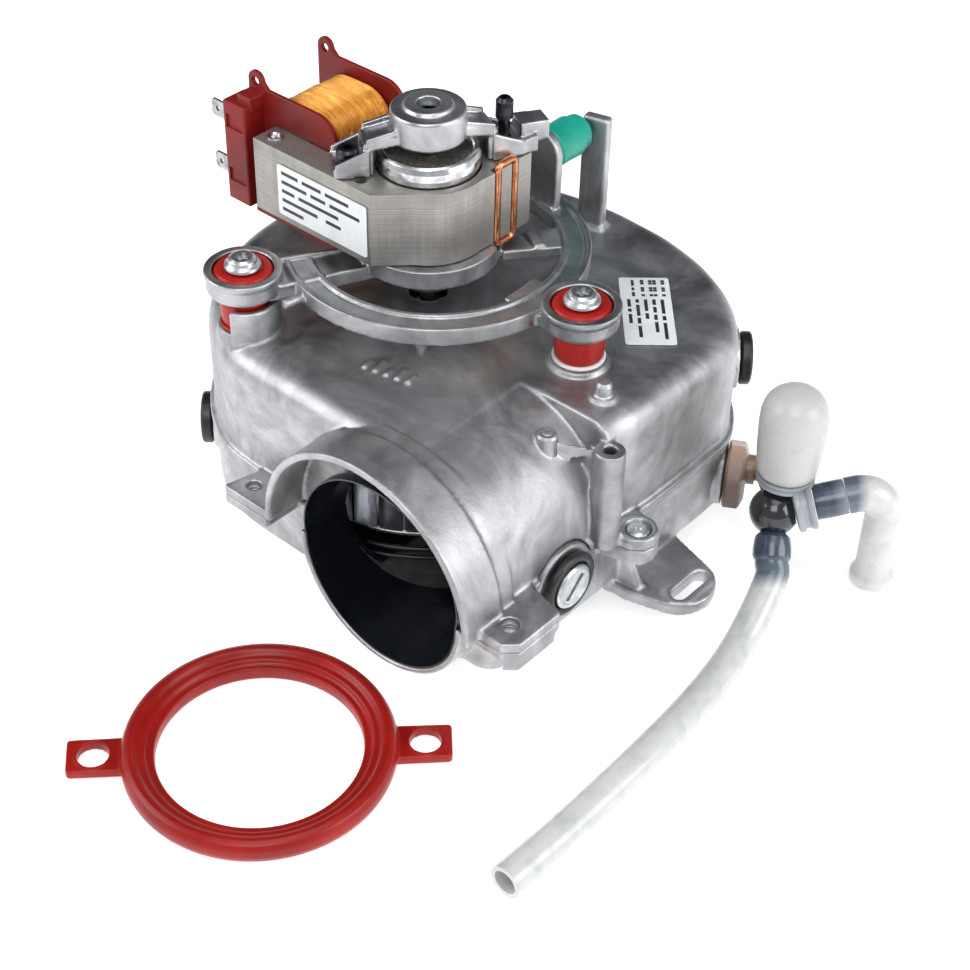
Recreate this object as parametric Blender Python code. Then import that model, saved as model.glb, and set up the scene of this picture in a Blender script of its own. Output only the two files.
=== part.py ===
"""Combustion fan: die-cast scroll casing with a round outlet, shaded-pole
motor carried on a three-point damped bracket, condensate trap and drain hose,
and the loose outlet seal.  Metres, +Z up, outlet towards -Y, shaft along Z."""

import math

import bmesh
import bpy
from mathutils import Matrix, Vector

# ---------------------------------------------------------------- dimensions
MM = 0.001
SHIFT_X, SHIFT_Y = -40.866, 48.74

GAP = 0.3                           # between touching pieces
Z_BOTTOM, Z_PART, Z_TOP = 14.0, 42.0, 87.0
WALL = 3.2
TOP_ROUND = 9.0
FRONT_Y = -74.0                     # front wall of the casing
DUCT_X, DUCT_Z, DUCT_R = 56.5, 42.0, 34.0
SPIGOT_R, SPIGOT_Y = 36.0, -86.0
HOOD_X, HOOD_Z, HOOD_RI, HOOD_RO, HOOD_Y = 53.5, 44.0, 43.1, 45.7, -90.0
SIDE_X = 96.5                       # right wall of the outlet duct
ROUND_X, ROUND_Z, ROUND_R = 59.0, 49.0, 37.5

IMP_R, IMP_RI, IMP_TOP, IMP_LOW = 60.0, 48.0, 81.3, 24.0
BLADES = 40
SHAFT_R = 3.0
MOUNT_R, MOUNT_A0 = 65.8, 2.2       # damper mounts about the shaft
BRACKET_TOP = 110.2
STACK_Z0, STACK_Z1 = 110.5, 138.0
STACK_X0, STACK_HALF, STACK_NOSE = -55.0, 28.5, 21.0
BORE_R, ROTOR_R = 18.0, 17.5
CAP_R, CAP_Z0, CAP_Z1 = 12.85, 148.4, 159.6
COIL_X0, COIL_X1 = -68.0, -26.0
TRAP = (127.0, 37.0, 34.0)
HOSE_D = 11.5
SEAL_X, SEAL_Y = 54.5, -139.3

for old in list(bpy.data.objects):
    bpy.data.objects.remove(old, do_unlink=True)

scene = bpy.context.scene


# ------------------------------------------------------------------- helpers
def material(name, colour, rough, metal):
    m = bpy.data.materials.new(name)
    m.use_nodes = True
    b = m.node_tree.nodes["Principled BSDF"]
    b.inputs["Base Color"].default_value = (*colour, 1.0)
    b.inputs["Roughness"].default_value = rough
    b.inputs["Metallic"].default_value = metal
    return m


CAST = material("cast_aluminium", (0.46, 0.46, 0.47), 0.42, 0.9)
STEEL = material("lamination_steel", (0.36, 0.34, 0.32), 0.45, 0.8)
ZINC = material("zinc_plate", (0.72, 0.73, 0.74), 0.28, 1.0)
BLACK = material("black_plastic", (0.02, 0.02, 0.022), 0.35, 0.0)
RED = material("red_moulding", (0.30, 0.025, 0.02), 0.42, 0.0)
SILICONE = material("red_silicone", (0.36, 0.02, 0.015), 0.45, 0.0)
COPPER = material("copper", (0.72, 0.30, 0.15), 0.3, 1.0)
ENAMEL = material("enamelled_wire", (0.80, 0.33, 0.05), 0.3, 0.4)
TEAL = material("teal_rubber", (0.01, 0.42, 0.33), 0.5, 0.0)
WHITE = material("label_white", (0.82, 0.83, 0.84), 0.5, 0.0)
BROWN = material("brown_fitting", (0.30, 0.19, 0.14), 0.5, 0.2)
MILKY = material("milky_plastic", (0.80, 0.80, 0.76), 0.4, 0.0)
SMOKE = material("smoke_plastic", (0.22, 0.26, 0.33), 0.25, 0.0)
DARK = material("dark_steel", (0.06, 0.06, 0.065), 0.35, 0.8)


def make(name, bm, mat=None):
    bmesh.ops.remove_doubles(bm, verts=bm.verts, dist=0.000002)
    bmesh.ops.recalc_face_normals(bm, faces=bm.faces)
    me = bpy.data.meshes.new(name)
    bm.to_mesh(me)
    bm.free()
    o = bpy.data.objects.new(name, me)
    scene.collection.objects.link(o)
    if mat:
        me.materials.append(mat)
    return o


def loft(name, rings, mat=None):
    """Closed solid through rings of equal point count, capped at both ends."""
    bm = bmesh.new()
    loops = [[bm.verts.new(Vector(p) * MM) for p in ring] for ring in rings]
    n = len(loops[0])
    for a, b in zip(loops, loops[1:]):
        for i in range(n):
            j = (i + 1) % n
            bm.faces.new((a[i], a[j], b[j], b[i]))
    bm.faces.new(list(reversed(loops[0])))
    bm.faces.new(loops[-1])
    return make(name, bm, mat)


def prism(name, pts, z0, z1, mat=None):
    return loft(name, [[(x, y, z0) for x, y in pts], [(x, y, z1) for x, y in pts]], mat)


def prism_y(name, pts, y0, y1, mat=None):
    """Outline given in the X-Z plane, extruded along Y."""
    return loft(name, [[(x, y0, z) for x, z in pts], [(x, y1, z) for x, z in pts]], mat)


def frame_to(axis):
    z = Vector(axis).normalized()
    up = Vector((0, 0, 1)) if abs(z.z) < 0.95 else Vector((1, 0, 0))
    x = up.cross(z).normalized()
    return x, z.cross(x), z


def cyl(name, p0, p1, r, mat=None, segs=24, r1=None, prof=None):
    """Turned solid between two points; prof is a list of (radius, distance)."""
    p0, p1 = Vector(p0), Vector(p1)
    x, y, z = frame_to(p1 - p0)
    length = (p1 - p0).length
    prof = prof or [(r, 0.0), (r if r1 is None else r1, length)]
    rings = []
    for rr, d in prof:
        rings.append([p0 + z * d + (x * math.cos(t) + y * math.sin(t)) * rr
                      for t in (2 * math.pi * k / segs for k in range(segs))])
    return loft(name, rings, mat)


def ring(name, prof, mat=None, segs=48, centre=(0, 0, 0), axis=(0, 0, 1)):
    """Turned ring from a closed profile of (radius, height)."""
    x, y, z = frame_to(axis)
    c = Vector(centre)
    bm = bmesh.new()
    loops = []
    for k in range(segs):
        t = 2 * math.pi * k / segs
        d = x * math.cos(t) + y * math.sin(t)
        loops.append([bm.verts.new((c + d * r + z * h) * MM) for r, h in prof])
    n = len(prof)
    for k in range(segs):
        a, b = loops[k], loops[(k + 1) % segs]
        for i in range(n):
            j = (i + 1) % n
            bm.faces.new((a[i], a[j], b[j], b[i]))
    return make(name, bm, mat)


def box(name, lo, hi, mat=None, turn=0.0, pivot=None):
    (x0, y0, z0), (x1, y1, z1) = lo, hi
    pts = [(x0, y0), (x1, y0), (x1, y1), (x0, y1)]
    if turn:
        px, py = pivot
        c, s = math.cos(math.radians(turn)), math.sin(math.radians(turn))
        pts = [(px + (x - px) * c - (y - py) * s, py + (x - px) * s + (y - py) * c) for x, y in pts]
    return prism(name, pts, z0, z1, mat)


def tube(name, pts, r, mat=None, closed=False, sides=10):
    """Round bar along a polyline, swept with a steady frame."""
    P = [Vector(p) for p in pts]
    n = len(P)
    bm = bmesh.new()
    loops = []
    prev = None
    for i in range(n):
        a = P[i - 1] if (i or closed) else P[i]
        b = P[(i + 1) % n] if (i < n - 1 or closed) else P[i]
        t = (b - a).normalized()
        if prev is None:
            ref = Vector((0, 0, 1)) if abs(t.z) < 0.8 else Vector((1, 0, 0))
            u = ref.cross(t).normalized()
        else:
            u = (prev - t * prev.dot(t)).normalized()
        prev = u
        v = t.cross(u)
        loops.append([bm.verts.new((P[i] + (u * math.cos(k) + v * math.sin(k)) * r) * MM)
                      for k in (2 * math.pi * j / sides for j in range(sides))])
    last = n if closed else n - 1
    for i in range(last):
        a, b = loops[i], loops[(i + 1) % n]
        for k in range(sides):
            m = (k + 1) % sides
            bm.faces.new((a[k], a[m], b[m], b[k]))
    if not closed:
        bm.faces.new(list(reversed(loops[0])))
        bm.faces.new(loops[-1])
    return make(name, bm, mat)


def boolean(a, b, kind):
    m = a.modifiers.new("b", "BOOLEAN")
    m.operation = kind
    m.solver = "EXACT"
    m.object = b
    bpy.context.view_layer.update()
    deps = bpy.context.evaluated_depsgraph_get()
    me = bpy.data.meshes.new_from_object(a.evaluated_get(deps))
    a.modifiers.clear()
    a.data = me
    bpy.data.objects.remove(b, do_unlink=True)
    return a


def cut(a, *tools):
    for b in tools:
        boolean(a, b, "DIFFERENCE")
    return a


def join(a, *tools):
    for b in tools:
        boolean(a, b, "UNION")
    return a


def polar(r, a, z=None):
    x, y = r * math.cos(math.radians(a)), r * math.sin(math.radians(a))
    return (x, y) if z is None else (x, y, z)


def smooth_table(table, t):
    """Smooth interpolation of (position, value) pairs."""
    for (a0, v0), (a1, v1) in zip(table, table[1:]):
        if a0 <= t <= a1:
            s = (t - a0) / (a1 - a0)
            s = s * s * (3 - 2 * s) * 0.35 + s * 0.65
            return v0 + (v1 - v0) * s
    return table[-1][1]


def inset(pts, d):
    """Offset of a counter-clockwise outline, inwards for positive d."""
    out = []
    n = len(pts)
    for i in range(n):
        (ax, ay), (bx, by), (cx, cy) = pts[i - 1], pts[i], pts[(i + 1) % n]
        u = Vector((bx - ax, by - ay)).normalized()
        v = Vector((cx - bx, cy - by)).normalized()
        n1, n2 = Vector((-u.y, u.x)), Vector((-v.y, v.x))
        m = n1 + n2
        k = d / max(0.5, (1 + n1.dot(n2)))
        out.append((bx + m.x * k, by + m.y * k))
    return out


def arc(cx, cz, r, a0, a1, n):
    return [(cx + r * math.cos(math.radians(a0 + (a1 - a0) * k / n)),
             cz + r * math.sin(math.radians(a0 + (a1 - a0) * k / n))) for k in range(n + 1)]


# ------------------------------------------------------------ scroll outline
SCROLL = [(0, 98.5), (26, 109.6), (34, 109.2), (42, 107.2), (52, 103.0), (62, 98.2),
          (75, 92.5), (90, 88.6), (110, 84.8), (135, 81.4), (160, 79.2), (185, 77.6),
          (210, 77.2), (232, 77.6), (248, 77.6), (262, 74.8)]


def scroll_r(a):
    if a < 26:
        return min(98.5 / math.cos(math.radians(a)), 109.6)
    return smooth_table(SCROLL, a)


outline = [(SIDE_X - 9, FRONT_Y), (SIDE_X, FRONT_Y + 9), (SIDE_X, -14.0), (98.0, -6.0)]
outline += [polar(scroll_r(a), a) for a in range(2, 262, 6)]
outline += [(-6.0, FRONT_Y), (20.0, FRONT_Y)]

cavity = [polar(scroll_r(a) - WALL, a) for a in range(2, 262, 10)]
cavity += [polar(70.5, a) for a in (268, 278, 288)]
cavity += [polar(68.0, a) for a in (300, 315, 330, 342)]
cavity += [(88.0, -14.5), (93.0, -12.0), (94.8, -4.0)]


def rounded_body(name, z0, z1, top=0.0, low=0.0, steps=3):
    rings = []
    if low:
        for k in range(steps + 1):
            t = math.pi / 2 * k / steps
            rings.append([(x, y, z0 + low * (1 - math.sin(t))) for x, y in
                          inset(outline, low * (1 - math.cos(t)))])
        rings = rings[::-1]
        # from the bottom face up to the full outline
    else:
        rings.append([(x, y, z0) for x, y in outline])
    if top:
        for k in range(steps + 1):
            t = math.pi / 2 * k / steps
            rings.append([(x, y, z1 - top * (1 - math.sin(t))) for x, y in
                          inset(outline, top * (1 - math.cos(t)))])
    else:
        rings.append([(x, y, z1) for x, y in outline])
    return loft(name, rings)


ZU, ZL = Z_PART + GAP / 2, Z_PART - GAP / 2

# ------------------------------------------------------------- upper casing
upper = rounded_body("upper_casing", ZU, Z_TOP, top=TOP_ROUND)
corner = [(ROUND_X, 100), (130, 100), (130, ROUND_Z)] + arc(ROUND_X, ROUND_Z, ROUND_R, 0, 90, 9)
cut(upper, prism_y("t", corner, -110, -19))
hood = [(HOOD_X + HOOD_RO, ZU)] + arc(HOOD_X, HOOD_Z, HOOD_RO, 0, 180, 20) + [(HOOD_X - HOOD_RO, ZU)]
join(upper, prism_y("t", hood, HOOD_Y, -66.0))
join(upper, prism("t", inset(outline, -1.5), ZU, ZU + 2.4))
# lugs on the joint line, left and right of the outlet
LEFT_LUG = [(-12.5, -90), (9, -90), (9, -72), (-8, -72)]
RIGHT_LUG = [(96, -84), (108, -84), (112.5, -80), (112.5, -60), (96, -56)]
EAR = [(94, -22), (103, -20), (108, -19.2), (112, -16), (113, -12), (112, -8), (108, -5), (103, -4.5), (94, -3)]
join(upper, prism("t", LEFT_LUG, ZU, ZU + 3.6), prism("t", RIGHT_LUG, ZU, ZU + 3.6),
     prism("t", EAR, ZU, ZU + 3.6))
join(upper, cyl("t", (97.0, -20.0, ZU), (97.0, -20.0, 80.0), 4.7, segs=20))
# seats of the three dampers, the left one half enclosed by a wall
for k in range(3):
    bx, by = polar(MOUNT_R, MOUNT_A0 + 120 * k)
    join(upper, cyl("t", (bx, by, Z_TOP - 3), (bx, by, Z_TOP + 2.0), 9.9, segs=24))
lx, ly = polar(MOUNT_R, MOUNT_A0 + 240)
horse = ([(lx + 12 * math.cos(math.radians(t)), ly + 12 * math.sin(math.radians(t))) for t in range(-70, 171, 20)]
         + [(lx + 9.6 * math.cos(math.radians(t)), ly + 9.6 * math.sin(math.radians(t))) for t in range(170, -71, -20)])
join(upper, prism("t", horse, Z_TOP - 2, Z_TOP + 12.5))
# stop post behind the motor, locating stud and ejector pad
join(upper, box("t", (10.6, 69.2, Z_TOP - 2), (20.6, 73.8, 132.0), turn=14, pivot=(15.6, 71.5)))
join(upper, cyl("t", (84, -7, Z_TOP - 6), (84, -7, Z_TOP + 1.0), 4.6, segs=16))
join(upper, cyl("t", (84, -7, Z_TOP - 2), (84, -7, Z_TOP + 6.0), 2.4, segs=12))
join(upper, cyl("t", (80.5, -31, 72), (80.5, -31, 82.5), 3.4, segs=12))
rx, ry = polar(1, 40)
join(upper, cyl("t", (rx * 100, ry * 100, 61), (rx * 110.5, ry * 110.5, 61), 11.0, segs=24))
# hollows: scroll, outlet bore, hood counterbore, shaft hole, lug holes
cut(upper, prism("t", cavity, 30, 83.5))
cut(upper, prism_y("t", arc(HOOD_X, HOOD_Z, HOOD_RI, 0, 180, 20) + [(HOOD_X - HOOD_RI, 30), (HOOD_X + HOOD_RI, 30)],
                   -100, FRONT_Y))
cut(upper, cyl("t", (DUCT_X, -110, DUCT_Z), (DUCT_X, -30, DUCT_Z), DUCT_R, segs=32))
cut(upper, cyl("t", (0, 0, 70), (0, 0, 100), 7.0, segs=24))
cut(upper, cyl("t", (-4.5, -83, 30), (-4.5, -83, 60), 2.6, segs=12),
    cyl("t", (104, -75, 30), (104, -75, 60), 3.2, segs=16),
    cyl("t", (106, -12, 30), (106, -12, 60), 2.6, segs=12),
    cyl("t", (97.0, -20.0, 66), (97.0, -20.0, 90), 2.1, segs=12))
cut(upper, cyl("t", (85, -40.5, 37), (120, -40.5, 37), 14.3, segs=28))
for k in range(3):
    bx, by = polar(MOUNT_R, MOUNT_A0 + 120 * k)
    cut(upper, cyl("t", (bx, by, Z_TOP - 10), (bx, by, Z_TOP + 20), 2.4, segs=12))
upper.data.materials.clear()
upper.data.materials.append(CAST)

# ------------------------------------------------------------- lower casing
lower = rounded_body("lower_casing", Z_BOTTOM, ZL, low=3.0, steps=2)
half = [(DUCT_X - 37.5, ZL)] + arc(DUCT_X, DUCT_Z, 37.5, 180, 360, 22)[1:-1] + [(DUCT_X + 37.5, ZL)]
join(lower, prism_y("t", half, FRONT_Y, -22))
spig = [(DUCT_X - SPIGOT_R, ZL)] + arc(DUCT_X, DUCT_Z, SPIGOT_R, 180, 360, 22)[1:-1] + [(DUCT_X + SPIGOT_R, ZL)]
join(lower, prism_y("t", spig, SPIGOT_Y, FRONT_Y + 4))
join(lower, prism("t", inset(outline, -1.2), ZL - 2.4, ZL))
join(lower, prism("t", LEFT_LUG, ZL - 3.6, ZL), prism("t", RIGHT_LUG, ZL - 3.6, ZL), prism("t", EAR, ZL - 6.0, ZL))
tab = [(94, -13), (104, -12)] + [(113 + 13 * math.cos(math.radians(t)), 4.5 + 13.5 * math.sin(math.radians(t)))
                                 for t in range(-70, 71, 20)] + [(104, 21), (94, 24)]
join(lower, prism("t", tab, 11.5, 17.0))
join(lower, cyl("t", (86, -40.5, 37), (98.2, -40.5, 37), 14.0, segs=28))
px, py = polar(1, 222.7)
join(lower, cyl("t", (px * 70, py * 70, 30), (px * 78.6, py * 78.6, 30), 11.0, segs=24))
fx, fy = polar(1, 29.5)
join(lower, cyl("t", (fx * 98, fy * 98, 24), (fx * 110.2, fy * 110.2, 24), 11.5, segs=24))
cut(lower, prism("t", cavity, Z_BOTTOM + 3.2, 60))
cut(lower, cyl("t", (DUCT_X, -110, DUCT_Z), (DUCT_X, -30, DUCT_Z), DUCT_R, segs=32))
cut(lower, cyl("t", (0, 0, -5), (0, 0, 40), 41.0, segs=32))
cut(lower, cyl("t", (0, 0, -5), (0, 0, 13.98), 45.4, segs=36))
slot = [(118 + 2.7 * math.cos(math.radians(t)), 10.5 + 2.7 * math.sin(math.radians(t))) for t in range(0, 181, 36)]
slot += [(118 + 2.7 * math.cos(math.radians(t)), -1.5 + 2.7 * math.sin(math.radians(t))) for t in range(180, 361, 36)]
cut(lower, prism("t", slot, 5, 25))
cut(lower, cyl("t", (-4.5, -83, 30), (-4.5, -83, 60), 2.6, segs=12),
    cyl("t", (104, -75, 30), (104, -75, 60), 3.2, segs=16),
    cyl("t", (106, -12, 30), (106, -12, 60), 2.6, segs=12))
cut(lower, cyl("t", (90, -40.5, 37), (120, -40.5, 37), 9.4, segs=24))
lower.data.materials.clear()
lower.data.materials.append(CAST)

# ------------------------------------------------------------- inlet nozzle
nozzle = ring("inlet_nozzle", [(45.0, 0.0), (45.0, 13.7), (40.6, 13.7), (40.6, 18.5), (38.2, 26.0),
                               (36.6, 36.0), (36.2, 46.0), (34.4, 46.0), (34.8, 35.0), (36.4, 22.0),
                               (39.0, 10.0), (42.0, 0.0)], BLACK, segs=36)

# ----------------------------------------------------------------- impeller
imp = cyl("impeller", (0, 0, IMP_TOP - 1.6), (0, 0, IMP_TOP), IMP_R, CAST, segs=44)

bm = bmesh.new()
for k in range(BLADES):
    base = 2 * math.pi * k / BLADES
    side_a, side_b = [], []
    for j in range(3):
        s = j / 2
        r = IMP_RI + (IMP_R - 0.6 - IMP_RI) * s
        a = base - 0.19 * math.sin(s * 1.45)
        side_a.append((r * math.cos(a), r * math.sin(a)))
        w = 1.3 / r
        side_b.append((r * math.cos(a + w), r * math.sin(a + w)))
    pts = side_a + side_b[::-1]
    lo = [bm.verts.new((x * MM, y * MM, (IMP_LOW + 0.6) * MM)) for x, y in pts]
    hi = [bm.verts.new((x * MM, y * MM, (IMP_TOP - 1.0) * MM)) for x, y in pts]
    n = len(pts)
    for i in range(n):
        j = (i + 1) % n
        bm.faces.new((lo[i], lo[j], hi[j], hi[i]))
    bm.faces.new(lo[::-1])
    bm.faces.new(hi)
join(imp, make("t", bm))
join(imp, ring("t", [(IMP_RI - 0.5, IMP_LOW), (IMP_R, IMP_LOW), (IMP_R, IMP_LOW + 1.6), (IMP_RI - 0.5, IMP_LOW + 1.6)], segs=44))
join(imp, cyl("t", (0, 0, 66), (0, 0, IMP_TOP - 0.5), 8.0, segs=20))
cut(imp, cyl("t", (0, 0, 50), (0, 0, 95), SHAFT_R + GAP, segs=16))
imp.data.materials.clear()
imp.data.materials.append(ZINC)
nut = cyl("impeller_nut", (0, 0, 61.0), (0, 0, 65.7), 5.6, ZINC, segs=6)
cut(nut, cyl("t", (0, 0, 55), (0, 0, 70), SHAFT_R + GAP, segs=16))

# ------------------------------------------------------- shaft, rotor, bearings
shaft = cyl("motor_shaft", (0, 0, 57.5), (0, 0, 156.5), SHAFT_R, ZINC, segs=16,
            prof=[(2.4, 0), (SHAFT_R, 0.8), (SHAFT_R, 98.2), (2.4, 99.0)])
rotor = ring("rotor_core", [(SHAFT_R + GAP, 111.2), (ROTOR_R - 0.4, 111.2), (ROTOR_R - 0.4, 137.6), (SHAFT_R + GAP, 137.6)],
             STEEL, segs=32)
endr = ring("rotor_end_ring", [(9.0, 138.0), (ROTOR_R, 138.0), (ROTOR_R + 0.3, 143.0), (ROTOR_R - 1.2, 145.4),
                               (15.2, 145.4), (14.4, 143.2), (9.0, 142.2)], ZINC, segs=40)
lowb = ring("lower_bearing", [(SHAFT_R + GAP, 95.0), (8.0, 95.0), (8.0, 101.0), (SHAFT_R + GAP, 101.0)], DARK, segs=24)
upb = ring("upper_bearing", [(SHAFT_R + GAP, 150.5), (8.0, 150.5), (8.0, 156.2), (SHAFT_R + GAP, 156.2)], DARK, segs=24)

# ------------------------------------------------------------- motor bracket
ring_c = (1.5, 2.5)
band = ([(ring_c[0] + 53.5 * math.cos(math.radians(t)), ring_c[1] + 53.5 * math.sin(math.radians(t))) for t in range(-124, 129, 9)]
        + [(ring_c[0] + 43.5 * math.cos(math.radians(t)), ring_c[1] + 43.5 * math.sin(math.radians(t))) for t in range(128, -125, -9)])
bracket = prism("motor_bracket", band, 100.5, 106.8)
for k in range(3):
    a = MOUNT_A0 + 120 * k
    bx, by = polar(MOUNT_R, a)
    join(bracket, cyl("t", (bx, by, 101.2), (bx, by, 110.8), 13.2, segs=28))
    ux, uy = polar(1, a)
    w = 7.0
    web = [(ux * 14 - uy * w, uy * 14 + ux * w), (ux * 14 + uy * w, uy * 14 - ux * w),
           (ux * 60 + uy * (w + 2), uy * 60 - ux * (w + 2)), (ux * 60 - uy * (w + 2), uy * 60 + ux * (w + 2))]
    if k != 0:
        join(bracket, prism("t", web, 101.0, 106.2))
    else:
        join(bracket, prism("t", [(ux * 40 - uy * 8, uy * 40 + ux * 8), (ux * 40 + uy * 10, uy * 40 - ux * 10),
                                  (ux * 60 + uy * 9, uy * 60 - ux * 9), (ux * 60 - uy * 9, uy * 60 + ux * 9)], 101.0, 106.4))
plate = [polar(25.0, t) for t in range(-140, 141, 20)] + [(-25.5, 12), (-25.5, -12)]
join(bracket, prism("t", plate, 103.4, BRACKET_TOP))
join(bracket, prism("t", [(10, 20), (22, 14), (37, 33), (27, 41)], 102.0, 106.4))
join(bracket, cyl("t", (0, 0, 91.0), (0, 0, 104.0), 11.5, segs=32,
                  prof=[(7.0, 0), (9.8, 1.0), (11.2, 3.0), (12.4, 13.0)]))
cx, cy = polar(48.6, 310)
join(bracket, cyl("t", (cx, cy, 101.0), (cx, cy, 93.5), 3.0, segs=12, r1=0.9))
bx, by = polar(56.2, 257)
join(bracket, cyl("t", (bx * 0.84, by * 0.84, 103.2), (bx * 1.04, by * 1.04, 103.2), 1.6, segs=10))
# upright lug behind the motor that carries the stop buffer
BUF_A = Vector((10.8, 49.4, 126.0))
BUF_D = Vector((0.0, 1.0, 0.0))
BUF_N = Vector((1.0, 0.0, 0.0))
lug = []
for sgn in (-1, 1):
    pts = [(-7.5, 100.8), (7.5, 100.8), (7.8, 122.0)] + [(7.8 * math.cos(math.radians(t)), 126.0 + 8.4 * math.sin(math.radians(t)))
                                                  for t in range(0, 181, 20)] + [(-7.8, 122.0)]
    off = BUF_D * (-3.6 if sgn < 0 else -0.3)
    lug.append([(BUF_A.x + BUF_N.x * u + off.x, BUF_A.y + BUF_N.y * u + off.y, z) for u, z in pts])
join(bracket, loft("t", lug))
for k in range(3):
    a = MOUNT_A0 + 120 * k
    bx, by = polar(MOUNT_R, a)
    cut(bracket, cyl("t", (bx, by, 104.5), (bx, by, 120), 10.4, segs=28))
    cut(bracket, cyl("t", (bx, by, 90), (bx, by, 120), 8.6, segs=24))
cut(bracket, box("t", (18.4, 9.6, 106.6), (24, 22.2, 115)), box("t", (-24.5, -16.8, 106.6), (-19.9, -4.2, 115)))
cut(bracket, cyl("t", (0, 0, 80), (0, 0, 120), 4.2, segs=20), cyl("t", (0, 0, 94.7), (0, 0, 120), 8.3, segs=24))
bracket.data.materials.clear()
bracket.data.materials.append(CAST)

# -------------------------------------------------------- dampers and screws
names = ("right", "rear", "left")
bush_mesh = screw_mesh = None
for k in range(3):
    bx, by = polar(MOUNT_R, MOUNT_A0 + 120 * k)
    o = ring("damper_bush_" + names[k],
             [(3.0, 89.3), (8.2, 89.3), (8.8, 100.2), (8.2, 100.8), (8.2, 104.8), (10.1, 104.8),
              (10.1, 110.3), (9.2, 111.0), (3.0, 111.0)], RED, segs=22)
    if bush_mesh is None:
        bush_mesh = o.data
    o.data = bush_mesh
    o.location = (bx * MM, by * MM, 0)
    s = cyl("damper_screw_" + names[k], (0, 0, 86.5), (0, 0, 116.4), 2.0, ZINC, segs=20,
            prof=[(2.0, 0), (2.0, 24.8), (6.1, 24.8), (6.2, 26.2), (4.4, 26.5), (4.2, 29.2), (3.6, 29.9)])
    if screw_mesh is None:
        screw_mesh = s.data
    s.data = screw_mesh
    s.location = (bx * MM, by * MM, 0)

buffer_ = cyl("stop_buffer", BUF_A, BUF_A + BUF_D * 17.8, 7.4, TEAL, segs=28,
              prof=[(5.4, 0.0), (7.6, 1.2), (7.6, 12.5), (6.6, 13.6), (6.6, 17.0), (6.0, 17.8)])

# ------------------------------------------------------------------- stator
stk = [(STACK_X0, -STACK_HALF), (0.3, -STACK_HALF), (9.5, -19.2)]
stk += [polar(STACK_NOSE, t) for t in range(-60, 11, 10)]
stk += [(21.0, 6.0), (21.0, STACK_HALF), (STACK_X0, STACK_HALF)]
stack = prism("stator_stack", stk, STACK_Z0, STACK_Z1)
cut(stack, cyl("t", (0, 0, 100), (0, 0, 150), BORE_R, segs=40))
cut(stack, box("t", (-60, -18, 100), (-23, 18, 150)))
for y in (11.6, 20.2):
    cut(stack, box("t", (18.6, y - 1.7, 100), (30, y + 1.7, 150)))
for y in (-14.6, -6.4):
    cut(stack, box("t", (-30, y - 1.7, 100), (-20.4, y + 1.7, 150)))
stack.data.materials.clear()
stack.data.materials.append(STEEL)
leg = box("core_leg", (-54.7, -17.7, STACK_Z0), (-38.5, 17.7, STACK_Z1), STEEL)

bob = box("coil_bobbin", (COIL_X0, -17.6, 98.5), (COIL_X1, -15.8, 150.0))
join(bob, box("t", (COIL_X0, 15.8, 98.5), (COIL_X1, 17.6, 150.0)))
join(bob, box("t", (-56.4, -16.5, 108.8), (-36.8, 16.5, 139.7)))
cut(bob, box("t", (-55.0, -30, STACK_Z0 - GAP), (-38.2, 30, STACK_Z1 + GAP)))
# corner ears with holes, and the terminal block on the near flange
for y0, y1 in ((-17.6, -15.8), (15.8, 17.6)):
    join(bob, box("t", (COIL_X0, y0, 149), (COIL_X0 + 7.5, y1, 155.5)))
    cut(bob, cyl("t", (COIL_X0 + 3.7, y0 - 5, 151.6), (COIL_X0 + 3.7, y1 + 5, 151.6), 1.7, segs=12))
join(bob, box("t", (-71.5, -27.0, 107.0), (-60.5, -16.5, 146.0)))
bob.data.materials.clear()
bob.data.materials.append(RED)
for nm, z in (("upper", 138.5), ("lower", 117.5)):
    blade = box("spade_terminal_" + nm, (-81.5, -23.6, z - 3.15), (-71.8, -22.6, z + 3.15), ZINC)
    cut(blade, cyl("t", (-78.0, -30, z), (-78.0, -15, z), 0.9, segs=8))

wind = []
for y, f in ((-15.4, 0.0), (-15.0, 1.0), (15.0, 1.0), (15.4, 0.0)):
    hx, hz, cxw, czw, c = 15.6 + 0.4 * f, 21.2 + 0.5 * f, -46.6, 124.25, 5.5
    pts = []
    for qx, qz, a0 in ((1, 1, 0), (-1, 1, 90), (-1, -1, 180), (1, -1, 270)):
        pts += arc(cxw + qx * (hx - c), czw + qz * (hz - c), c, a0, a0 + 90, 4)
    wind.append([(x, y, z) for x, z in pts])
coil = loft("coil_winding", wind)
cut(coil, box("t", (-56.7, -30, 108.5), (-36.5, 30, 140.0)))
coil.data.materials.clear()
coil.data.materials.append(ENAMEL)


def shading(name, x, y, side):
    h, z0, z1, c = 4.3, 108.9, 139.6, 1.8
    pts = []
    for qy, qz, a0 in ((1, 1, 0), (-1, 1, 90), (-1, -1, 180), (1, -1, 270)):
        cy_, cz_ = y + qy * (h - c), (z1 - c) if qz > 0 else (z0 + c)
        for t in (0, 45, 90):
            a = math.radians(a0 + t)
            pts.append((x, cy_ + c * math.cos(a), cz_ + c * math.sin(a)))
    return tube(name, pts, 1.25, COPPER, closed=True, sides=8)


shading("shading_ring_rear", 20.5, 15.9, 1)
shading("shading_ring_front", -21.9, -10.5, -1)

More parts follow.
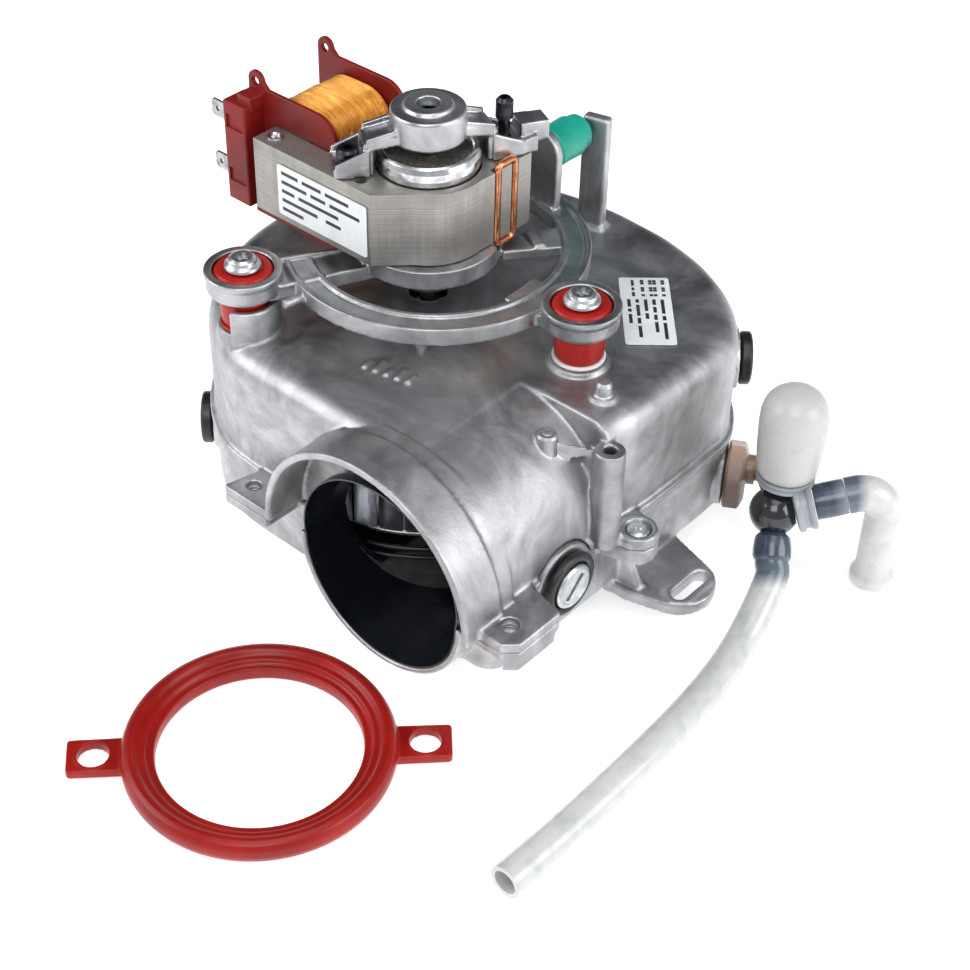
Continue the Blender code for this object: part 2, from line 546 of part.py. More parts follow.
# ---------------------------------------------------- upper bearing and bridge
bridge = cyl("bearing_bridge", (0, 0, CAP_Z0), (0, 0, CAP_Z1), CAP_R, segs=36,
             prof=[(12.2, 0), (CAP_R, 0.6), (CAP_R, 10.2), (12.4, 10.8), (8.4, 10.8), (8.2, 11.8), (7.6, 12.2)])
for a, ext in ((231.5, 0.0), (63.0, 1.0)):
    ux, uy = polar(1, a)
    w = 5.2

    def strip(r0, r1, w0, w1, z00, z01, z10, z11):
        pts = []
        for r, ww, za, zb in ((r0, w0, z00, z01), (r1, w1, z10, z11)):
            pts.append([(ux * r - uy * ww, uy * r + ux * ww, za), (ux * r + uy * ww, uy * r - ux * ww, za),
                        (ux * r + uy * ww, uy * r - ux * ww, zb), (ux * r - uy * ww, uy * r + ux * ww, zb)])
        return loft("t", pts)

    join(bridge, strip(9.0, 20.5, 7.0, 6.0, 149.2, 154.5, 147.2, 151.5))
    join(bridge, strip(19.2, 22.5, 6.2, 6.0, 138.3, 152.0, 138.3, 150.5))
    join(bridge, strip(21.5, 32.0 + 5 * ext, 6.0, 5.0, 138.3, 142.6, 138.3, 142.0 + 3 * ext))
    if ext:
        join(bridge, strip(31.5, 42.0, 4.4, 4.0, 139.5, 148.5, 141.0, 148.0))
for a in (231.5, 63.0):
    hx, hy = polar(27.0, a)
    cut(bridge, cyl("t", (hx, hy, 130), (hx, hy, 170), 2.3, segs=12))
cut(bridge, cyl("t", (0, 0, 140), (0, 0, 156.6), 8.3, segs=24), cyl("t", (0, 0, 140), (0, 0, 170), 3.9, segs=24))
bridge.data.materials.clear()
bridge.data.materials.append(CAST)
hx, hy = polar(27.0, 231.5)
cyl("bridge_screw_front", (hx, hy, 138.6), (hx, hy, 147), 2.0, DARK, segs=16,
    prof=[(2.0, 0), (2.0, 4.5), (3.9, 4.5), (3.9, 6.6), (3.0, 7.6)])
hx, hy = polar(27.0, 63.0)
cyl("bridge_screw_rear", (hx, hy, 138.6), (hx, hy, 158), 2.0, DARK, segs=16,
    prof=[(2.0, 0), (2.0, 11.4), (3.0, 11.4), (3.0, 17.6), (1.9, 18.8)])

# ------------------------------------------------------------ plugs and seal
def plug(name, p, axis, r, mat):
    p, ax = Vector(p), Vector(axis).normalized()
    o = cyl(name, p, p + ax * 4.4, r, mat, segs=28, prof=[(r - 1.2, 0), (r, 0.8), (r, 3.6), (r - 0.9, 4.4)])
    x, y, z = frame_to(ax)
    s = math.sqrt(0.5)
    d, e = (x * s + y * s), (x * s - y * s)
    rings = []
    for h in (2.8, 6.0):
        rings.append([p + ax * h + d * (u * (r - 2.6)) + e * (v * 1.0) for u, v in ((-1, -1), (1, -1), (1, 1), (-1, 1))])
    return cut(o, loft("t", rings))


plug("side_plug", (98.6, -40.5, 37), (1, 0, 0), 9.2, ZINC)
ring("side_plug_o_ring", [(9.6 + 1.5 + 1.45 * math.cos(t), 1.55 + 1.3 * math.sin(t)) for t in
                          (2 * math.pi * k / 6 for k in range(6))], BLACK, segs=28,
     centre=(98.6, -40.5, 37), axis=(1, 0, 0))
plug("left_plug", (px * 79.0, py * 79.0, 30), (px, py, 0), 9.6, BLACK)
plug("right_plug", (rx * 110.9, ry * 110.9, 61), (rx, ry, 0), 9.6, BLACK)
cyl("casing_screw", (106, -12, 36.5), (106, -12, 50), 2.0, ZINC, segs=16,
    prof=[(2.0, 0), (2.0, 9.6), (4.2, 9.6), (4.2, 10.8), (2.6, 12.4)])

# -------------------------------------------------------------------- labels
box("data_label", (65 - 20, 41 - 8.8, Z_TOP + GAP), (65 + 20, 41 + 8.8, Z_TOP + GAP + 0.4), WHITE, turn=-48.3, pivot=(65, 41))
box("motor_label", (-43, -STACK_HALF - GAP - 0.4, 113.5), (-1, -STACK_HALF - GAP, 133.0), WHITE)

# ----------------------------------------------- condensate trap and its hoses
T = Vector(TRAP)
U = Vector((0.735, 0.678, 0.0))
B = T + U * 0.8 + Vector((0, 0, 1.0))
D2 = U * 0.961 + Vector((0, 0, 0.276))
pc = Vector((125.8, 44.8, 0))
W0 = Vector((fx * 110.5, fy * 110.5, 24.0))
F = Vector((fx, fy, 0))
bend = W0 + F * 14 + Vector((0, 0, 3.6))
back = Vector((bend.x - pc.x, bend.y - pc.y, 0)).normalized()
neck_end = pc + back * 8.2 + Vector((0, 0, 29.5))
fit = cyl("drain_fitting", W0, W0 + F * 7.5, 13.0, segs=20, prof=[(11.6, 0), (13.2, 1.4), (13.2, 5.4), (10.8, 7.5)])
q0, q1 = bend - F * 4.0, bend + (neck_end - bend).normalized() * 4.0
join(fit, tube("t", [W0 + F * 4 + Vector((0, 0, 3.0)), q0] + [q0.lerp(bend, k / 4).lerp(bend.lerp(q1, k / 4), k / 4) for k in range(1, 4)]
               + [q1, neck_end], 4.1, BROWN, sides=16))
fit.data.materials.clear()
fit.data.materials.append(BROWN)
body = cyl("trap_body", B + D2 * 6.8, B + D2 * 13.6, 9.0, segs=24, prof=[(7.0, 0), (8.8, 1.0), (8.8, 4.6), (9.2, 5.0), (9.2, 6.8)])
join(body, cyl("t", (pc.x, pc.y, 25.0), (pc.x, pc.y, 47.6), 6.0, segs=20,
               prof=[(6.0, 0), (6.0, 18.4), (10.2, 20.2), (10.2, 22.6)]))
join(body, cyl("t", pc + Vector((0, 0, 29.5)), pc + back * 7.7 + Vector((0, 0, 29.5)), 3.4, segs=16))
body.data.materials.clear()
body.data.materials.append(SMOKE)
blk = []
for k in range(9):
    t = -math.pi / 2 + math.pi * k / 8
    blk.append((max(0.8, 8.6 * math.cos(t)), 8.6 + 8.6 * math.sin(t)))
valve = cyl("valve_body", B - Vector((0, 0, 8.6)), B + Vector((0, 0, 8.6)), 8.6, segs=20, prof=blk)
cut(valve, cyl("t", B + D2 * 6.5, B + D2 * 24, 12, segs=24))
cut(valve, cyl("t", (pc.x, pc.y, 20), (pc.x, pc.y, 60), 6.4, segs=24))
cut(valve, cyl("t", (pc.x, pc.y, 42.4), (pc.x, pc.y, 60), 11.0, segs=24))
valve.data.materials.clear()
valve.data.materials.append(BLACK)
insert = cyl("elbow_insert", B + D2 * 13.9, B + D2 * 24.7, 6.2, SMOKE, segs=20, prof=[(6.2, 0), (6.2, 5.0), (6.0, 10.8)])
pot_z = 47.9
pot = cyl("condensate_pot", (pc.x, pc.y, pot_z), (pc.x, pc.y, 82.0), 11.6, MILKY, segs=28,
          prof=[(9.4, 0), (10.6, 3), (11.2, 10), (11.6, 20), (11.4, 25.0), (10.2, 29.0), (7.6, 32.2), (4.4, 33.8), (1.6, 34.2)])
e0 = B + D2 * 25.0
el = [e0, e0 + D2 * 3.0]
ux = Vector((U.x, U.y, 0)).normalized()
up = Vector((0, 0, 1))
turn_r, a0 = 8.6, math.asin(0.276)
c0 = el[-1] + (ux * math.sin(a0) - up * math.cos(a0)) * turn_r
for k in range(1, 9):
    a = (math.pi / 2 + a0) * k / 8
    h = math.pi / 2 + a0 - a
    el.append(c0 + (ux * math.cos(h) + up * math.sin(h)) * turn_r)
leg = el[-1]
el += [Vector((leg.x, leg.y, leg.z - 8.0)), Vector((leg.x, leg.y, leg.z - 16.0)), Vector((leg.x, leg.y, 9.4))]
elbow = tube("elbow_hose", el, 6.4, MILKY, sides=16)
end = el[-1]
join(elbow, cyl("t", end + Vector((0, 0, 1)), end + Vector((0, 0, -6)), 7.6, segs=20, prof=[(6.6, 0), (7.8, 3), (7.8, 7)]))
cut(elbow, cyl("t", end + Vector((0, 0, 3.0)), end + Vector((0, 0, -12)), 5.2, segs=16))
elbow.data.materials.clear()
elbow.data.materials.append(MILKY)

# drain hose: leaves the trap forwards and down, then lies on the ground
HD = Vector((0.42, -0.56, -0.71)).normalized()
h0 = B + HD * 9.0
collar = cyl("hose_insert", h0, h0 + HD * 6.4, 6.4, SMOKE, segs=16, prof=[(6.6, 0), (6.6, 3.0), (5.3, 6.4)])
cut(bpy.data.objects["valve_body"], cyl("t", h0 - HD * 0.3, h0 + HD * 12, 7.5, segs=20))
start = h0 + HD * 8.2
zc = HOSE_D / 2 + 0.4
ctrl = [start, start + HD * 7.0, Vector((142.6, 2.0, zc + 1.6)), Vector((146.6, -22.0, zc)), Vector((148.8, -50.0, zc)),
        Vector((149.6, -80.0, zc)), Vector((149.8, -105.0, zc)), Vector((149.2, -128.0, zc))]


def catmull(P, per):
    Q = [P[0] * 2 - P[1]] + P + [P[-1] * 2 - P[-2]]
    out = []
    for i in range(1, len(Q) - 2):
        for k in range(per):
            t = k / per
            a, b, c, d = Q[i - 1], Q[i], Q[i + 1], Q[i + 2]
            out.append(0.5 * ((2 * b) + (c - a) * t + (2 * a - 5 * b + 4 * c - d) * t * t + (3 * b - a - 3 * c + d) * t ** 3))
    out.append(P[-1])
    return out


route = catmull(ctrl, 3)
cu = bpy.data.curves.new("drain_hose", "CURVE")
cu.dimensions = "3D"
cu.bevel_depth = HOSE_D / 2 * MM
cu.bevel_resolution = 3
cu.use_fill_caps = True
sp = cu.splines.new("POLY")
sp.points.add(len(route) - 1)
for i, q in enumerate(route):
    sp.points[i].co = (q.x * MM, q.y * MM, q.z * MM, 1)
cu.materials.append(MILKY)
hose = bpy.data.objects.new("drain_hose", cu)
scene.collection.objects.link(hose)

# ---------------------------------------------------------- loose outlet seal
seal = ring("seal_ring", [(34.0, 0.0), (42.4, 0.0), (44.9, 3.4), (44.2, 7.2), (41.8, 8.6), (39.2, 7.6), (37.6, 6.2),
                          (33.8, 5.4)], segs=40)
EAR_T = -1.5
for sx in (-1, 1):
    x0, x1 = 42.5, 62.0
    pts = [(sx * x0, -7.2), (sx * x1, -7.2), (sx * (x1 + 0.6), 7.0), (sx * x0, 7.2)]
    ears = prism("t", pts if sx > 0 else pts[::-1], 0.4, 3.6)
    join(seal, ears)
    cut(seal, cyl("t", (sx * 53.6, 0, -5), (sx * 53.6, 0, 10), 5.2, segs=20))
rot = Matrix.Rotation(math.radians(46.0), 4, "Z")
seal.data.transform(rot)
seal.location = (SEAL_X * MM, SEAL_Y * MM, 0)
seal.data.materials.clear()
seal.data.materials.append(SILICONE)

# ----------------------------------------------------------- assembly frame
root = bpy.data.objects.new("fan_frame", None)
spin = bpy.data.objects.new("shaft_axis", None)
scene.collection.objects.link(root)
scene.collection.objects.link(spin)
root.location = (SHIFT_X * MM, SHIFT_Y * MM, 0)
spin.parent = root
SPINNING = ("impeller", "impeller_nut", "motor_shaft", "rotor_core", "rotor_end_ring")
for o in list(scene.objects):
    if o.type == "EMPTY":
        continue
    o.parent = spin if o.name in SPINNING else root
    if o.type == "MESH":
        o.data.shade_smooth()
        o.data.set_sharp_from_angle(angle=math.radians(38))
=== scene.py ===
import math

import bmesh
import bpy
from mathutils import Matrix, Vector, noise


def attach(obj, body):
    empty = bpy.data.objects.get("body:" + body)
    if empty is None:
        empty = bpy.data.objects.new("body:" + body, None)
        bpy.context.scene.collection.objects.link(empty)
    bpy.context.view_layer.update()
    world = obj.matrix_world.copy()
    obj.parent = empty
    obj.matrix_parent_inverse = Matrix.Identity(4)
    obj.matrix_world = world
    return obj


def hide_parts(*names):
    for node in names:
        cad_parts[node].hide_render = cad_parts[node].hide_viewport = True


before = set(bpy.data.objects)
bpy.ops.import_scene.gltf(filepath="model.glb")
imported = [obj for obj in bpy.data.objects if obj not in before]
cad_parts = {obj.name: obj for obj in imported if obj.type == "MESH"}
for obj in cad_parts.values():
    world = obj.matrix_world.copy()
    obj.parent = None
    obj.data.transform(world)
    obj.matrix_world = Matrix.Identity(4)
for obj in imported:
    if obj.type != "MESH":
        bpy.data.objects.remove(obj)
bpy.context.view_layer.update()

scene = bpy.context.scene
MM = 0.001
SX, SY = -40.866, 48.74              # layout to row frame, mm
OFF = Vector((SX, SY, 0.0))

# ------------------------------------------------------------------- camera
cam_data = bpy.data.cameras.new("camera")
cam = bpy.data.objects.new("camera", cam_data)
scene.collection.objects.link(cam)
eye = (Vector((375.5, -407.0, 465.6)) + OFF) * MM
aim = (Vector((36.45, -39.55, 50.0)) + OFF) * MM
cam.location = eye
cam.rotation_mode = "QUATERNION"
cam.rotation_quaternion = (aim - eye).to_track_quat("-Z", "Y")
cam_data.sensor_width = 36.0
cam_data.lens = 70.6
cam_data.shift_x = 0.0585
cam_data.shift_y = -0.0177
cam_data.clip_start, cam_data.clip_end = 0.01, 20.0
scene.camera = cam


# ------------------------------------------------------------------ helpers
def V(*a):
    return Vector(a)


def make(name, bm, mat=None, angle=40):
    bmesh.ops.remove_doubles(bm, verts=bm.verts, dist=0.0000015)
    bmesh.ops.recalc_face_normals(bm, faces=bm.faces)
    me = bpy.data.meshes.new(name)
    bm.to_mesh(me)
    bm.free()
    o = bpy.data.objects.new(name, me)
    scene.collection.objects.link(o)
    if mat:
        me.materials.append(mat)
    me.shade_smooth()
    me.set_sharp_from_angle(angle=math.radians(angle))
    return o


def at(p):
    return (Vector(p) + OFF) * MM


def loft(name, rings, mat=None, angle=40, closed=False, caps=True):
    """Solid through rings of equal point count, in layout millimetres."""
    bm = bmesh.new()
    loops = [[bm.verts.new(at(p)) for p in r] for r in rings]
    n = len(loops[0])
    pairs = list(zip(loops, loops[1:])) + ([(loops[-1], loops[0])] if closed else [])
    for a, b in pairs:
        for i in range(n):
            j = (i + 1) % n
            bm.faces.new((a[i], a[j], b[j], b[i]))
    if caps and not closed:
        bm.faces.new(list(reversed(loops[0])))
        bm.faces.new(loops[-1])
    return make(name, bm, mat, angle)


def inset(pts, d):
    out = []
    n = len(pts)
    for i in range(n):
        (ax, ay), (bx, by), (cx, cy) = pts[i - 1], pts[i], pts[(i + 1) % n]
        u, v = Vector((bx - ax, by - ay)), Vector((cx - bx, cy - by))
        if u.length < 1e-6 or v.length < 1e-6:
            out.append((bx, by))
            continue
        u.normalize(), v.normalize()
        n1, n2 = Vector((-u.y, u.x)), Vector((-v.y, v.x))
        m = n1 + n2
        k = d / max(0.5, (1 + n1.dot(n2)))
        out.append((bx + m.x * k, by + m.y * k))
    return out


def area2(pts):
    return sum(pts[i - 1][0] * p[1] - p[0] * pts[i - 1][1] for i, p in enumerate(pts))


def fillet(pts, r, n=4, closed=True):
    """Rounds the corners of a polyline, each by r or as much as its edges let it."""
    out = []
    N = len(pts)
    for i in range(N):
        if not closed and i in (0, N - 1):
            out.append(tuple(pts[i]))
            continue
        a, b, c = Vector(pts[i - 1]), Vector(pts[i]), Vector(pts[(i + 1) % N])
        u, v = a - b, c - b
        if u.length < 1e-6 or v.length < 1e-6:
            continue
        un, vn = u.normalized(), v.normalized()
        cosv = max(-1.0, min(1.0, un.dot(vn)))
        ang = math.acos(cosv)
        if ang > math.radians(172):
            out.append(tuple(b))
            continue
        cutb = min(r / max(math.tan(ang / 2), 1e-3), u.length * 0.46, v.length * 0.46)
        p, q = b + un * cutb, b + vn * cutb
        for k in range(n + 1):
            t = k / n
            w = 2 * (1 - t) * t * 0.85
            pt = (p * (1 - t) ** 2 + b * w + q * t * t) / ((1 - t) ** 2 + w + t * t)
            out.append(tuple(pt))
    return out


def slab(name, pts, z0, z1, mat=None, r=0.4, steps=3, top=None, low=None, angle=40):
    """Upright prism with its top and bottom edges rounded by r."""
    if area2(pts) < 0:
        pts = pts[::-1]
    top = r if top is None else top
    low = r if low is None else low
    rings = []
    if low:
        for k in range(steps, -1, -1):
            t = math.pi / 2 * k / steps
            rings.append([(x, y, z0 + low * (1 - math.sin(t))) if k == -1 else (x, y, z0 + low - low * math.sin(t))
                          for x, y in inset(pts, low * (1 - math.cos(t)))])
    else:
        rings.append([(x, y, z0) for x, y in pts])
    if top:
        for k in range(steps + 1):
            t = math.pi / 2 * k / steps
            rings.append([(x, y, z1 - top + top * math.sin(t)) for x, y in inset(pts, top * (1 - math.cos(t)))])
    else:
        rings.append([(x, y, z1) for x, y in pts])
    return loft(name, rings, mat, angle)


def prism(name, pts, z0, z1, mat=None):
    return loft(name, [[(x, y, z0) for x, y in pts], [(x, y, z1) for x, y in pts]], mat)


def prism_y(name, pts, y0, y1, mat=None):
    return loft(name, [[(x, y0, z) for x, z in pts], [(x, y1, z) for x, z in pts]], mat)


def frame_to(axis):
    z = Vector(axis).normalized()
    up = Vector((0, 0, 1)) if abs(z.z) < 0.95 else Vector((1, 0, 0))
    x = up.cross(z).normalized()
    return x, z.cross(x), z


def cyl(name, p0, p1, r=1.0, mat=None, segs=64, r1=None, prof=None, soft=0.0, angle=40, lobes=None):
    """Turned solid; prof is a list of (radius, distance), soft rounds its corners."""
    p0, p1 = Vector(p0), Vector(p1)
    x, y, z = frame_to(p1 - p0)
    length = (p1 - p0).length
    prof = prof or [(r, 0.0), (r if r1 is None else r1, length)]
    if soft:
        prof = [(0.001, prof[0][1])] + list(prof) + [(0.001, prof[-1][1])]
        prof = fillet(prof, soft, 4, closed=False)[1:-1]
    rings = []
    for rr, d in prof:
        ring_ = []
        for k in range(segs):
            t = 2 * math.pi * k / segs
            q = rr * (lobes(t, d) if lobes else 1.0)
            ring_.append(p0 + z * d + (x * math.cos(t) + y * math.sin(t)) * q)
        rings.append(ring_)
    return loft(name, rings, mat, angle)


def ring(name, prof, mat=None, segs=96, centre=(0, 0, 0), axis=(0, 0, 1), soft=0.0, angle=40):
    """Turned ring from a closed profile of (radius, height)."""
    if soft:
        prof = fillet(prof, soft, 4)
    x, y, z = frame_to(axis)
    c = Vector(centre)
    rings = []
    for k in range(segs):
        t = 2 * math.pi * k / segs
        d = x * math.cos(t) + y * math.sin(t)
        rings.append([c + d * r + z * h for r, h in prof])
    return loft(name, rings, mat, angle, closed=True)


def block(name, lo, hi, mat=None, turn=0.0, pivot=None, r=0.5, corner=0.6, angle=40):
    (x0, y0, z0), (x1, y1, z1) = lo, hi
    pts = [(x0, y0), (x1, y0), (x1, y1), (x0, y1)]
    if corner:
        pts = fillet(pts, corner, 4)
    if turn:
        px, py = pivot
        c, s = math.cos(math.radians(turn)), math.sin(math.radians(turn))
        pts = [(px + (x - px) * c - (y - py) * s, py + (x - px) * s + (y - py) * c) for x, y in pts]
    return slab(name, pts, z0, z1, mat, r=r, angle=angle)


def sweep(pts, sides, radius, closed=False):
    P = [Vector(p) for p in pts]
    n = len(P)
    rings = []
    prev = None
    for i in range(n):
        a = P[i - 1] if (i or closed) else P[i]
        b = P[(i + 1) % n] if (i < n - 1 or closed) else P[i]
        t = (b - a).normalized()
        if prev is None:
            ref = Vector((0, 0, 1)) if abs(t.z) < 0.8 else Vector((1, 0, 0))
            u = ref.cross(t).normalized()
        else:
            u = (prev - t * prev.dot(t)).normalized()
        prev = u
        v = t.cross(u)
        r = radius(i / (n - 1)) if callable(radius) else radius
        rings.append([P[i] + (u * math.cos(k) + v * math.sin(k)) * r for k in (2 * math.pi * j / sides for j in range(sides))])
    return rings


def tube(name, pts, r, mat=None, closed=False, sides=20, angle=50):
    return loft(name, sweep(pts, sides, r, closed), mat, angle, closed=closed)


def baked(o):
    bpy.context.view_layer.update()
    deps = bpy.context.evaluated_depsgraph_get()
    me = bpy.data.meshes.new_from_object(o.evaluated_get(deps))
    o.modifiers.clear()
    old = o.data
    o.data = me
    if old.users == 0:
        bpy.data.meshes.remove(old)
    return o


def boolean(a, b, kind):
    before = len(a.data.polygons)
    for solver in ("MANIFOLD", "EXACT"):
        m = a.modifiers.new("b", "BOOLEAN")
        m.operation = kind
        m.solver = solver
        m.object = b
        bpy.context.view_layer.update()
        deps = bpy.context.evaluated_depsgraph_get()
        me = bpy.data.meshes.new_from_object(a.evaluated_get(deps))
        a.modifiers.clear()
        if len(me.polygons) > 3:
            a.data = me
            break
    bpy.data.objects.remove(b, do_unlink=True)
    return a


def cut(a, *tools):
    for b in tools:
        boolean(a, b, "DIFFERENCE")
    return a


def join(a, *tools):
    for b in tools:
        boolean(a, b, "UNION")
    return a


def cast(o, voxel, mat, passes=4, factor=0.5, angle=180):
    """One continuous cast skin: remeshed, then relaxed so that every edge and root is rounded."""
    m = o.modifiers.new("r", "REMESH")
    m.mode = "VOXEL"
    m.voxel_size = voxel * MM
    m.use_smooth_shade = True
    s = o.modifiers.new("s", "SMOOTH")
    s.factor = factor
    s.iterations = passes
    baked(o)
    o.data.materials.clear()
    o.data.materials.append(mat)
    o.data.shade_smooth()
    return o


def crisp(o, mat=None, angle=35):
    if mat:
        o.data.materials.clear()
        o.data.materials.append(mat)
    o.data.shade_smooth()
    o.data.set_sharp_from_angle(angle=math.radians(angle))
    return o


def bevel(o, width=0.3, segs=2, angle=32):
    m = o.modifiers.new("edge", "BEVEL")
    m.width = width * MM
    m.segments = segs
    m.limit_method = "ANGLE"
    m.angle_limit = math.radians(angle)
    m.harden_normals = True
    return o


def put(o, body, slot, *nodes):
    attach(o, body)
    if nodes:
        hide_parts(*nodes)
    return o


def polar(r, a, z=None):
    x, y = r * math.cos(math.radians(a)), r * math.sin(math.radians(a))
    return (x, y) if z is None else (x, y, z)


def arc(cx, cz, r, a0, a1, n):
    return [(cx + r * math.cos(math.radians(a0 + (a1 - a0) * k / n)),
             cz + r * math.sin(math.radians(a0 + (a1 - a0) * k / n))) for k in range(n + 1)]


def catmull(P, per):
    Q = [P[0] * 2 - P[1]] + P + [P[-1] * 2 - P[-2]]
    out = []
    for i in range(1, len(Q) - 2):
        for k in range(per):
            t = k / per
            a, b, c, d = Q[i - 1], Q[i], Q[i + 1], Q[i + 2]
            out.append(0.5 * ((2 * b) + (c - a) * t + (2 * a - 5 * b + 4 * c - d) * t * t + (3 * b - a - 3 * c + d) * t ** 3))
    out.append(P[-1])
    return out


# ---------------------------------------------------------------- materials
class Nodes:
    def __init__(self, name):
        self.m = bpy.data.materials.new(name)
        self.m.use_nodes = True
        self.t = self.m.node_tree
        self.b = self.t.nodes["Principled BSDF"]
        self.tc = self.t.nodes.new("ShaderNodeTexCoord")

    def link(self, a, b):
        self.t.links.new(a, b)

    def mapped(self, scale=(1, 1, 1), rot=(0, 0, 0)):
        n = self.t.nodes.new("ShaderNodeMapping")
        n.inputs["Scale"].default_value = scale
        n.inputs["Rotation"].default_value = rot
        self.link(self.tc.outputs["Object"], n.inputs["Vector"])
        return n.outputs["Vector"]

    def noise(self, scale, detail=4.0, rough=0.55, vec=None, dist=0.0):
        n = self.t.nodes.new("ShaderNodeTexNoise")
        n.inputs["Scale"].default_value = scale
        n.inputs["Detail"].default_value = detail
        n.inputs["Roughness"].default_value = rough
        n.inputs["Distortion"].default_value = dist
        self.link(vec or self.tc.outputs["Object"], n.inputs["Vector"])
        return n.outputs["Fac"]

    def voronoi(self, scale, vec=None, feature="F1"):
        n = self.t.nodes.new("ShaderNodeTexVoronoi")
        n.feature = feature
        n.inputs["Scale"].default_value = scale
        self.link(vec or self.tc.outputs["Object"], n.inputs["Vector"])
        return n.outputs["Distance"]

    def wave(self, scale, vec=None, dist=0.0, detail=2.0, axis="Z"):
        n = self.t.nodes.new("ShaderNodeTexWave")
        n.bands_direction = axis
        n.inputs["Scale"].default_value = scale
        n.inputs["Distortion"].default_value = dist
        n.inputs["Detail"].default_value = detail
        self.link(vec or self.tc.outputs["Object"], n.inputs["Vector"])
        return n.outputs["Fac"]

    def ramp(self, fac, stops):
        n = self.t.nodes.new("ShaderNodeValToRGB")
        e = n.color_ramp.elements
        while len(e) < len(stops):
            e.new(0.5)
        for el, (p, c) in zip(e, stops):
            el.position = p
            el.color = (*c, 1.0) if hasattr(c, "__len__") else (c, c, c, 1.0)
        self.link(fac, n.inputs["Fac"])
        return n.outputs["Color"]

    def span(self, fac, a, b, lo=0.0, hi=1.0):
        n = self.t.nodes.new("ShaderNodeMapRange")
        n.inputs["From Min"].default_value = a
        n.inputs["From Max"].default_value = b
        n.inputs["To Min"].default_value = lo
        n.inputs["To Max"].default_value = hi
        self.link(fac, n.inputs["Value"])
        return n.outputs["Result"]

    def mix(self, fac, a, b, kind="MIX"):
        n = self.t.nodes.new("ShaderNodeMix")
        n.data_type = "RGBA"
        n.blend_type = kind
        for sock, val in ((n.inputs[0], fac), (n.inputs[6], a), (n.inputs[7], b)):
            if hasattr(val, "default_value") or hasattr(val, "links"):
                self.link(val, sock)
            elif hasattr(val, "__len__"):
                sock.default_value = (*val, 1.0)
            else:
                sock.default_value = val
        return n.outputs[2]

    def bump(self, fac, strength, dist_mm, prev=None):
        n = self.t.nodes.new("ShaderNodeBump")
        n.inputs["Strength"].default_value = strength
        n.inputs["Distance"].default_value = dist_mm * MM
        self.link(fac, n.inputs["Height"])
        if prev:
            self.link(prev, n.inputs["Normal"])
        return n.outputs["Normal"]

    def set(self, **kw):
        for k, v in kw.items():
            s = self.b.inputs[k.replace("_", " ")]
            if hasattr(v, "links"):
                self.link(v, s)
            elif hasattr(v, "__len__") and len(v) == 3 and k == "Base_Color":
                s.default_value = (*v, 1.0)
            else:
                s.default_value = v
        return self


def casting(name, tint=1.0, dark=0.5, rough=(0.27, 0.46), grain=0.16):
    """Die-cast aluminium: flow marks, grey oxide patches, fine skin grain."""
    N = Nodes(name)
    broad = N.noise(26.0, 6.0, 0.62, dist=1.6)
    mid = N.noise(120.0, 5.0, 0.6)
    fine = N.noise(900.0, 3.0, 0.6)
    flow = N.noise(1.0, 4.0, 0.6, vec=N.mapped((60, 60, 9), (0.3, 0.5, 0.2)), dist=2.0)
    lite, deep = (0.83 * tint, 0.84 * tint, 0.86 * tint), (0.83 * tint * dark, 0.835 * tint * dark, 0.86 * tint * dark)
    c = N.ramp(broad, [(0.34, deep), (0.50, tuple((a + b) / 2 for a, b in zip(lite, deep))), (0.64, lite)])
    c = N.mix(N.span(mid, 0.40, 0.70, 0.0, 0.35), c, tuple(v * 0.62 for v in lite))
    c = N.mix(N.span(flow, 0.56, 0.74, 0.0, 0.30), c, tuple(min(1.0, v * 1.1) for v in lite))
    r = N.span(N.mix(0.5, broad, mid), 0.35, 0.65, rough[0], rough[1])
    nrm = N.bump(fine, grain, 0.25)
    nrm = N.bump(mid, 0.12, 0.8, nrm)
    N.set(Base_Color=c, Roughness=r, Metallic=1.0, Normal=nrm)
    return N.m


def metal(name, a, b, rough=(0.15, 0.35), scale=140.0, brushed=None, bump_=0.05, met=1.0):
    N = Nodes(name)
    v = N.mapped(brushed) if brushed else None
    n1 = N.noise(scale, 5.0, 0.6, vec=v)
    n2 = N.noise(scale * 7, 3.0, 0.6, vec=v)
    c = N.ramp(n1, [(0.36, b), (0.60, a)])
    N.set(Base_Color=c, Roughness=N.span(n1, 0.35, 0.65, rough[1], rough[0]), Metallic=met, Normal=N.bump(n2, bump_, 0.2))
    return N.m


def moulded(name, a, b, rough=(0.30, 0.46), scale=60.0, grain=0.08, size=700.0, coat=0.0, sss=0.0, sheen=0.0):
    N = Nodes(name)
    n1 = N.noise(scale, 4.0, 0.55)
    n2 = N.noise(size, 4.0, 0.6)
    n3 = N.voronoi(size * 0.6)
    c = N.ramp(n1, [(0.35, b), (0.62, a)])
    c = N.mix(N.span(n2, 0.45, 0.75, 0.0, 0.16), c, tuple(v * 0.7 for v in a))
    nrm = N.bump(n2, grain, 0.2)
    nrm = N.bump(n3, grain * 0.5, 0.15, nrm)
    N.set(Base_Color=c, Roughness=N.span(n1, 0.3, 0.7, rough[0], rough[1]), Normal=nrm)
    if coat:
        N.set(Coat_Weight=coat, Coat_Roughness=0.12)
    if sss:
        N.set(Subsurface_Weight=sss, Subsurface_Radius=(0.004, 0.003, 0.003), Subsurface_Scale=1.0)
    if sheen:
        N.set(Sheen_Weight=sheen)
    return N.m


